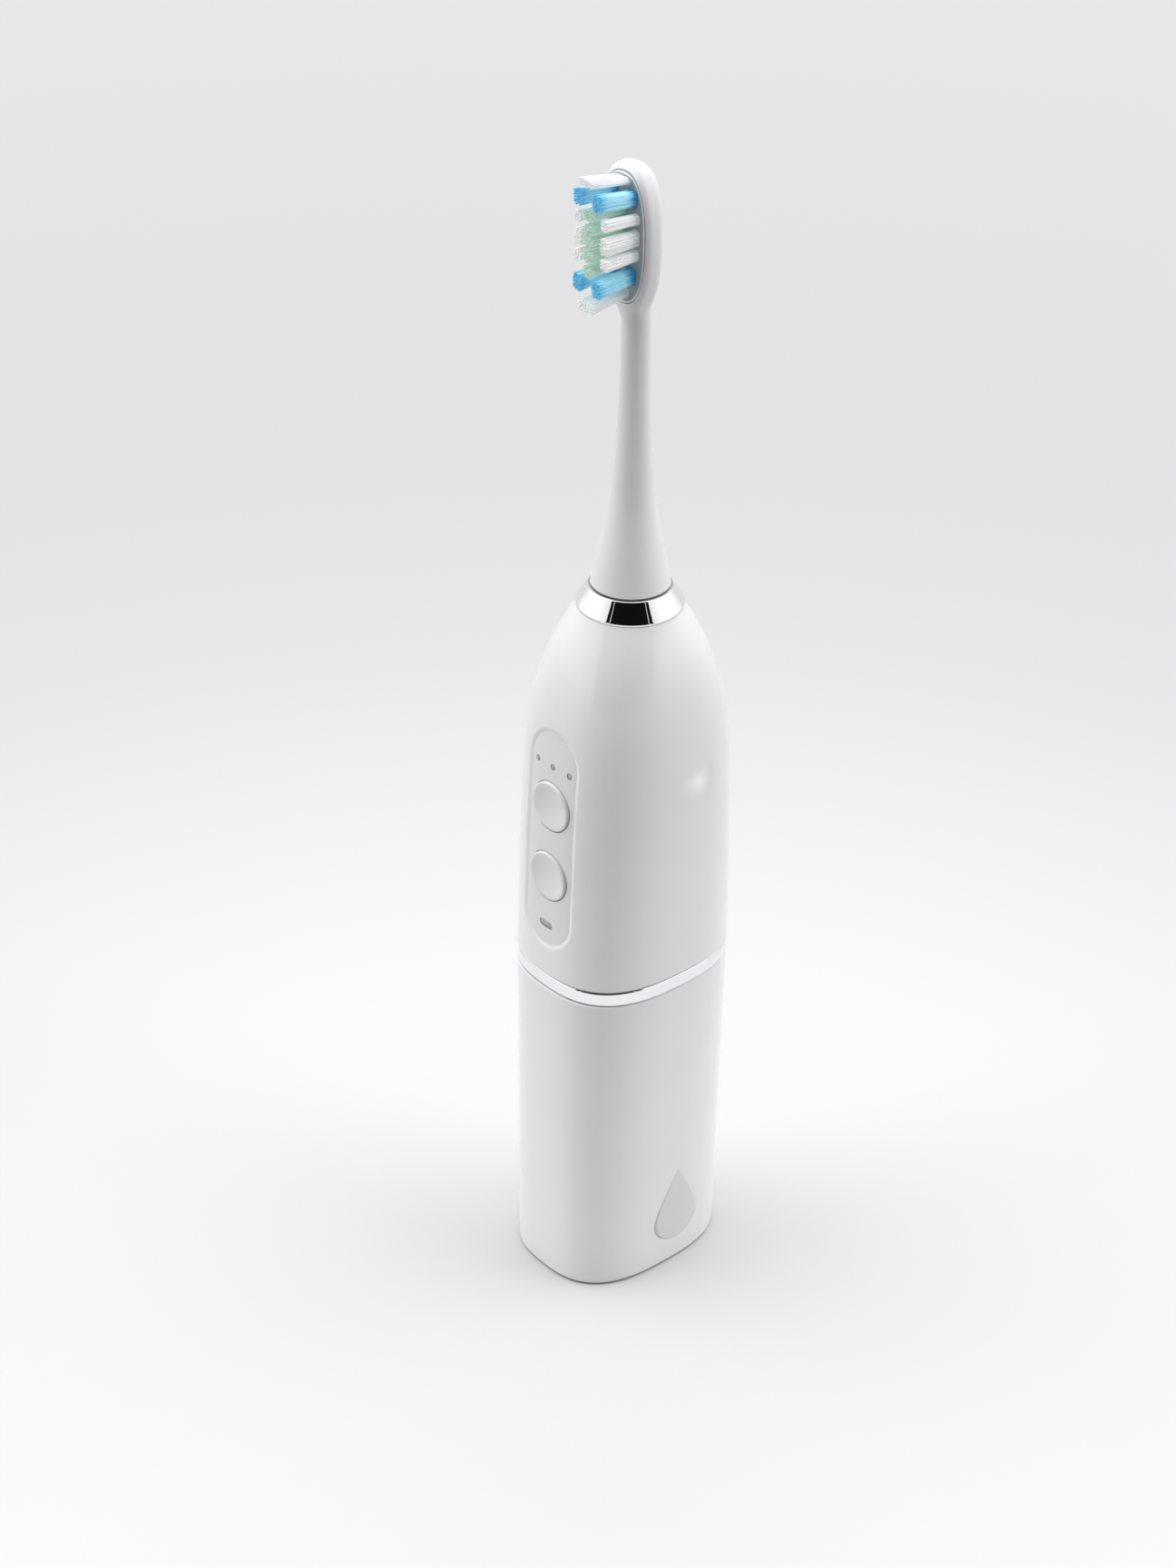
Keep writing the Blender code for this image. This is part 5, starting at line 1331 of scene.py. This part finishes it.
def make_tufts(color, tufts, chance, fan):
    """All tufts of one colour. They lean with their height, and fan spreads each one (x, z)."""
    points, faces, count = [], [], 0
    root = PLATE_LOW.y + TUFT_ROOT * MM
    for x, z, half_x, half_z, length in tufts:
        lean = math.tan(math.radians(z * LEAN))
        for dx, dz in honeycomb(half_x, half_z):
            start = Vector(((x + dx) * MM, root, (z + dz) * MM + PLATE_MIDDLE))
            wander = [chance.gauss(0, WANDER), chance.gauss(0, WANDER)]
            reach = (length + TUFT_ROOT + chance.gauss(0, TRIM)) * MM
            sideways, upwards = wander[0] + dx * fan[0], lean + wander[1] + dz * fan[1]
            end = start + Vector((sideways * reach, -reach, upwards * reach))
            rod(points, faces, start, end, FILAMENT_RADIUS * MM)
            count += 1
    mesh = mesh_from(color + "_bristles", points, faces)
    mesh.shade_smooth()
    mesh.set_sharp_from_angle(angle=math.radians(70))
    piece(color + "_bristles", mesh, "brush_head", color + "_filament", color + "_tufts")
    return count


chance = random.Random(7)
filaments = make_tufts("white", WHITE_TUFTS, chance, FAN)
filaments += make_tufts("blue", BLUE_TUFTS, chance, FAN)
filaments += make_tufts("green", GREEN_TUFTS, chance, WIDE_FAN)
print("filaments:", filaments)

# %% [markdown]
# ## Printed mark
#
# The dock carries one small pale print low on its side. A plain water drop stands there. It
# is a real film a few hundredths of a millimetre thick, laid on the curved wall.

# %% Printed drop
PRINT = plastic("print_grey", (0.71, 0.715, 0.72), 0.35, 0.1, 0.004 * MM, 0.3)
DROP_HEIGHT = 18.0 * MM
DROP_CENTRE = (2.4 * MM, 14.6 * MM)


def drop_half_width(share):
    """Half the drop's width at a share of its height: round below, drawn to a point above."""
    return 0.36 * DROP_HEIGHT * math.sin(math.pi * share**0.62) * (1 - 0.25 * share)


def dock_side(y, z):
    """The x of the dock's right-hand wall."""
    up = (z - DOCK_LOW.z) / (DOCK_HIGH.z - DOCK_LOW.z)
    half = [foot + (rim - foot) * up for foot, rim in zip(DOCK_FOOT_HALF, DOCK_RIM_HALF)]
    return half[0] * (1 - (abs(y) / half[1]) ** DOCK_POWER) ** (1 / DOCK_POWER)


def make_print(rows=48, columns=12):
    points = []
    for row in range(rows + 1):
        share = 0.001 + 0.998 * row / rows
        z = DROP_CENTRE[1] + DROP_HEIGHT * (share - 0.5)
        for column in range(columns + 1):
            y = DROP_CENTRE[0] + drop_half_width(share) * (2 * column / columns - 1)
            points.append((dock_side(y, z) + 0.02 * MM, y, z))
    mesh = mesh_from("printed_drop", points, grid_faces(rows + 1, columns + 1))
    mesh.shade_smooth()
    mesh.materials.append(PRINT)
    drop = piece("printed_drop", mesh, "dock", "soft_white")
    drop.modifiers.new("film", "SOLIDIFY").thickness = 0.03 * MM
    return drop


print("drop:", len(make_print().data.polygons), "faces")

# %% [markdown]
# ## Studio
#
# Glossy white shows its surroundings more than its own colour. The set is a pale light tent:
# bright walls on both sides, a pale floor, and the dark opening that the camera looks through,
# which gives the casing its grey front edge and the chrome its black middle. Lamps alone
# would leave small hard glints, so nearly all the light comes from the tent's walls.

# %% Floor
# Painted light and shade on the floor: tones by distance that stand in for how the studio light falls
# off.
FLOOR_PAINTED_LIGHT_TONES = ((0.0, 0.59), (0.10, 0.63), (0.21, 0.62), (0.37, 0.505), (0.58, 0.486), (1.0, 0.52))
FLOOR_REACH = 0.9
FLOOR_RADIUS = 8.0
FLOOR_SHIFT = (-0.06, 0.053, 0.0)
BOUNCE_NEAR, BOUNCE_FAR, BOUNCE_LOSS = 0.03, 0.22, 0.56


def round_sheet(name, sides, radius):
    """A flat disc mesh that faces up."""
    mesh = bpy.data.meshes.new(name)
    shape = bmesh.new()
    bmesh.ops.create_circle(shape, cap_ends=True, segments=sides, radius=radius)
    shape.to_mesh(mesh)
    shape.free()
    return mesh


def make_floor():
    """A pale sheet with painted light and shade: brightest round the dock, a shade darker just in front
    of it, greyer further out; past its near edge it sends less light back up.
    """
    made, tree, shader = new_material("studio_floor", (0.9, 0.9, 0.9), 0.9)
    shader.inputs["Specular IOR Level"].default_value = 0.0
    shifted = vector_node(tree, "ADD", object_place(tree), FLOOR_SHIFT).outputs["Vector"]
    distance = vector_node(tree, "LENGTH", shifted).outputs["Value"]
    share = math_node(tree, "DIVIDE", distance, FLOOR_REACH)
    # The ramp paints the floor's light falloff into its colour.
    ramp = tinted(tree, shader, share, (FLOOR_PAINTED_LIGHT_TONES[0][1],) * 3, (FLOOR_PAINTED_LIGHT_TONES[-1][1],) * 3, 0.0, 1.0)
    for position, tone in FLOOR_PAINTED_LIGHT_TONES[1:-1]:
        ramp.color_ramp.elements.new(position).color = (tone, tone, tone * 1.012, 1.0)
    ramp.color_ramp.interpolation = "B_SPLINE"
    bounce = tree.nodes.new("ShaderNodeMapRange")
    bounce.inputs["From Min"].default_value = BOUNCE_NEAR
    bounce.inputs["From Max"].default_value = BOUNCE_FAR
    bounce.inputs["To Max"].default_value = BOUNCE_LOSS
    tree.links.new(distance, bounce.inputs["Value"])
    path = tree.nodes.new("ShaderNodeLightPath")
    loss = math_node(tree, "MULTIPLY", bounce.outputs["Result"], path.outputs["Is Diffuse Ray"])
    mix = tree.nodes.new("ShaderNodeMix")
    mix.data_type = "RGBA"
    tree.links.new(loss, mix.inputs[0])
    tree.links.new(ramp.outputs["Color"], mix.inputs[6])
    mix.inputs[7].default_value = (0.0, 0.0, 0.0, 1.0)
    tree.links.new(mix.outputs[2], shader.inputs["Base Color"])
    mesh = round_sheet("floor", 96, FLOOR_RADIUS)
    mesh.materials.append(made)
    floor = linked("floor", mesh)
    return floor


make_floor()
print("floor laid")

# %% Camera
CAMERA_AZIMUTH = math.radians(48.273)
CAMERA_REACH = 0.49003
CAMERA_HEIGHT = 0.410586
CAMERA_TURN = math.radians(0.839)
CAMERA_TILT = math.radians(31.735)
CAMERA_ROLL = math.radians(0.8636)
FOCAL_LENGTH = 69.74


def make_camera():
    camera_data = bpy.data.cameras.new("camera")
    camera_data.sensor_width = 36.0
    camera_data.lens = FOCAL_LENGTH
    camera_data.clip_start = 0.01
    camera = linked("camera", camera_data)
    heading, level_share = CAMERA_AZIMUTH + CAMERA_TURN, math.cos(CAMERA_TILT)
    forward = Vector((
        -math.sin(heading) * level_share, math.cos(heading) * level_share, -math.sin(CAMERA_TILT)
    ))
    level = forward.cross(Vector((0, 0, 1))).normalized()
    upright = level.cross(forward)
    right = level * math.cos(CAMERA_ROLL) + upright * math.sin(CAMERA_ROLL)
    up = upright * math.cos(CAMERA_ROLL) - level * math.sin(CAMERA_ROLL)
    matrix = Matrix((right, up, -forward)).transposed().to_4x4()
    matrix.translation = (
        math.sin(CAMERA_AZIMUTH) * CAMERA_REACH, -math.cos(CAMERA_AZIMUTH) * CAMERA_REACH, CAMERA_HEIGHT
    )
    camera.matrix_world = matrix
    bpy.context.scene.camera = camera
    return camera


make_camera()
print("camera set")

# %% [markdown]
# ## Light tent
#
# The tent's walls are the world itself: its brightness follows the square of how far a
# direction turns to the side, so both side walls glow and the front and back stay calmer.
# For soft light the world also dims towards the front and the rear, below the bright top.
# Reflections skip that dimming and meet two things in the tent instead: a dark curved card,
# which is the opening that chrome shows between two thin bright seams, and a small soft glow
# just above the floor, which leaves one highlight low on the pieces.

# %% Opening card
CARD_RADIUS, CARD_LIFT = 0.95, 0.1
OPENING_PANELS = ((-51, -43.4), (-42, 42), (43.4, 51))
OPENING_ELEVATION = (4, 60)
OPENING_TONE = 0.012


def tent_point(azimuth, elevation):
    a, e = math.radians(azimuth), math.radians(elevation)
    return (
        math.sin(a) * math.cos(e) * CARD_RADIUS, -math.cos(a) * math.cos(e) * CARD_RADIUS,
        math.sin(e) * CARD_RADIUS + CARD_LIFT,
    )


def make_opening(rows=10):
    """A dark card bent round the object, in panels from one azimuth to another, that only
    reflections see."""
    centre = math.degrees(CAMERA_AZIMUTH)
    bottom, top = OPENING_ELEVATION
    points, faces = [], []
    for low, high in OPENING_PANELS:
        columns = max(2, int((high - low) / 5))
        start = len(points)
        for row in range(rows + 1):
            elevation = bottom + (top - bottom) * row / rows
            for column in range(columns + 1):
                azimuth = centre + low + (high - low) * column / columns
                points.append(tent_point(azimuth, elevation))
        faces += grid_faces(rows + 1, columns + 1, start)
    made, _, shader = new_material("tent_opening_cloth", (OPENING_TONE,) * 3, 1.0)
    shader.inputs["Specular IOR Level"].default_value = 0.0
    mesh = mesh_from("tent_opening", points, faces)
    mesh.materials.append(made)
    card = linked("tent_opening", mesh)
    card.visible_camera = card.visible_diffuse = card.visible_shadow = False
    return card


make_opening()
print("opening hung")


# %% Glint
GLINT_AZIMUTH, GLINT_REACH, GLINT_LIFT = math.radians(135.0), 0.213, 0.004
GLINT_SIZE, GLINT_STRENGTH = (0.06, 0.022), 6.5


def make_glint():
    """A small bright disc near the floor that only reflections see; it softens towards its edge."""
    made, tree, shader = new_material("glint", (0.0, 0.0, 0.0), 1.0)
    ball = tree.nodes.new("ShaderNodeTexGradient")
    ball.gradient_type = "QUADRATIC_SPHERE"
    tree.links.new(object_place(tree), ball.inputs["Vector"])
    shader.inputs["Emission Color"].default_value = (1.0, 1.0, 1.0, 1.0)
    glow = math_node(tree, "MULTIPLY", ball.outputs["Fac"], GLINT_STRENGTH)
    tree.links.new(glow, shader.inputs["Emission Strength"])
    mesh = round_sheet("glint", 48, 1.0)
    mesh.materials.append(made)
    glint = linked("glint", mesh)
    across, along = math.sin(GLINT_AZIMUTH), -math.cos(GLINT_AZIMUTH)
    glint.location = (across * GLINT_REACH, along * GLINT_REACH, GLINT_LIFT)
    glint.rotation_euler = (0.0, 0.0, GLINT_AZIMUTH)
    glint.scale = (*GLINT_SIZE, 1.0)
    glint.visible_camera = glint.visible_diffuse = glint.visible_shadow = False
    return glint


make_glint()
print("glint placed")


# %% World
TENT_COLOR = (0.99, 0.99, 1.0, 1.0)
TENT_BASE, TENT_SIDES, TENT_TOP, TENT_SEEN = 0.80, 1.84, 2.35, 0.81
TENT_MIRRORED = 0.50
FRONT_SPAN, FRONT_DIM = (0.28, 0.50), 0.03
REAR_SPAN, REAR_DIM = (-0.75, -0.30), 0.45
TOP_SPAN = (0.76, 0.88)


def smooth_step(tree, value, span, to_low, to_high):
    """A share that runs smoothly from one value to another as the input crosses the span."""
    step = tree.nodes.new("ShaderNodeMapRange")
    step.interpolation_type = "SMOOTHSTEP"
    labels = ("From Min", "From Max", "To Min", "To Max")
    for label, number in zip(labels, (*span, to_low, to_high)):
        step.inputs[label].default_value = number
    tree.links.new(value, step.inputs["Value"])
    return step.outputs["Result"]


def make_world():
    """The tent: camera rays see a plain tone, reflections the undimmed walls, soft light all of it."""
    world = bpy.data.worlds.new("tent")
    bpy.context.scene.world = world
    world.use_nodes = True
    tree = world.node_tree
    background = tree.nodes["Background"]
    background.inputs["Color"].default_value = TENT_COLOR
    sine, cosine = math.sin(CAMERA_AZIMUTH), math.cos(CAMERA_AZIMUTH)
    direction = tree.nodes.new("ShaderNodeTexCoord").outputs["Generated"]
    turned = vector_node(tree, "DOT_PRODUCT", direction, (cosine, sine, 0.0)).outputs["Value"]
    facing = vector_node(tree, "DOT_PRODUCT", direction, (sine, -cosine, 0.0)).outputs["Value"]
    split = tree.nodes.new("ShaderNodeSeparateXYZ")
    tree.links.new(direction, split.inputs[0])
    above = math_node(tree, "MAXIMUM", split.outputs["Z"], 0.0)
    side = math_node(tree, "MULTIPLY", turned, turned)
    sides = math_node(tree, "ADD", math_node(tree, "MULTIPLY", side, TENT_SIDES), TENT_BASE)
    top = math_node(tree, "MULTIPLY", math_node(tree, "POWER", above, 4.0), TENT_TOP)
    lit = math_node(tree, "ADD", sides, top)
    path = tree.nodes.new("ShaderNodeLightPath")
    seen = path.outputs["Is Camera Ray"]
    front_share = smooth_step(tree, facing, FRONT_SPAN, 1.0, FRONT_DIM)
    rear_share = smooth_step(tree, facing, REAR_SPAN, REAR_DIM, 1.0)
    top_share = smooth_step(tree, split.outputs["Z"], TOP_SPAN, 0.0, 1.0)
    level_share = math_node(tree, "MULTIPLY", front_share, rear_share)
    open_share = math_node(tree, "MAXIMUM", level_share, top_share)
    glossy = path.outputs["Is Glossy Ray"]
    mirror_share = math_node(tree, "MULTIPLY", glossy, TENT_MIRRORED)
    soft_share = math_node(tree, "MULTIPLY", math_node(tree, "SUBTRACT", 1.0, glossy), open_share)
    mirrored = math_node(tree, "MULTIPLY", lit, math_node(tree, "ADD", mirror_share, soft_share))
    hidden = math_node(tree, "SUBTRACT", 1.0, seen)
    plain = math_node(tree, "MULTIPLY", seen, TENT_SEEN)
    strength = math_node(tree, "ADD", math_node(tree, "MULTIPLY", mirrored, hidden), plain)
    tree.links.new(strength, background.inputs["Strength"])


make_world()
bpy.context.scene.view_settings.view_transform = "Standard"
print("tent ready")
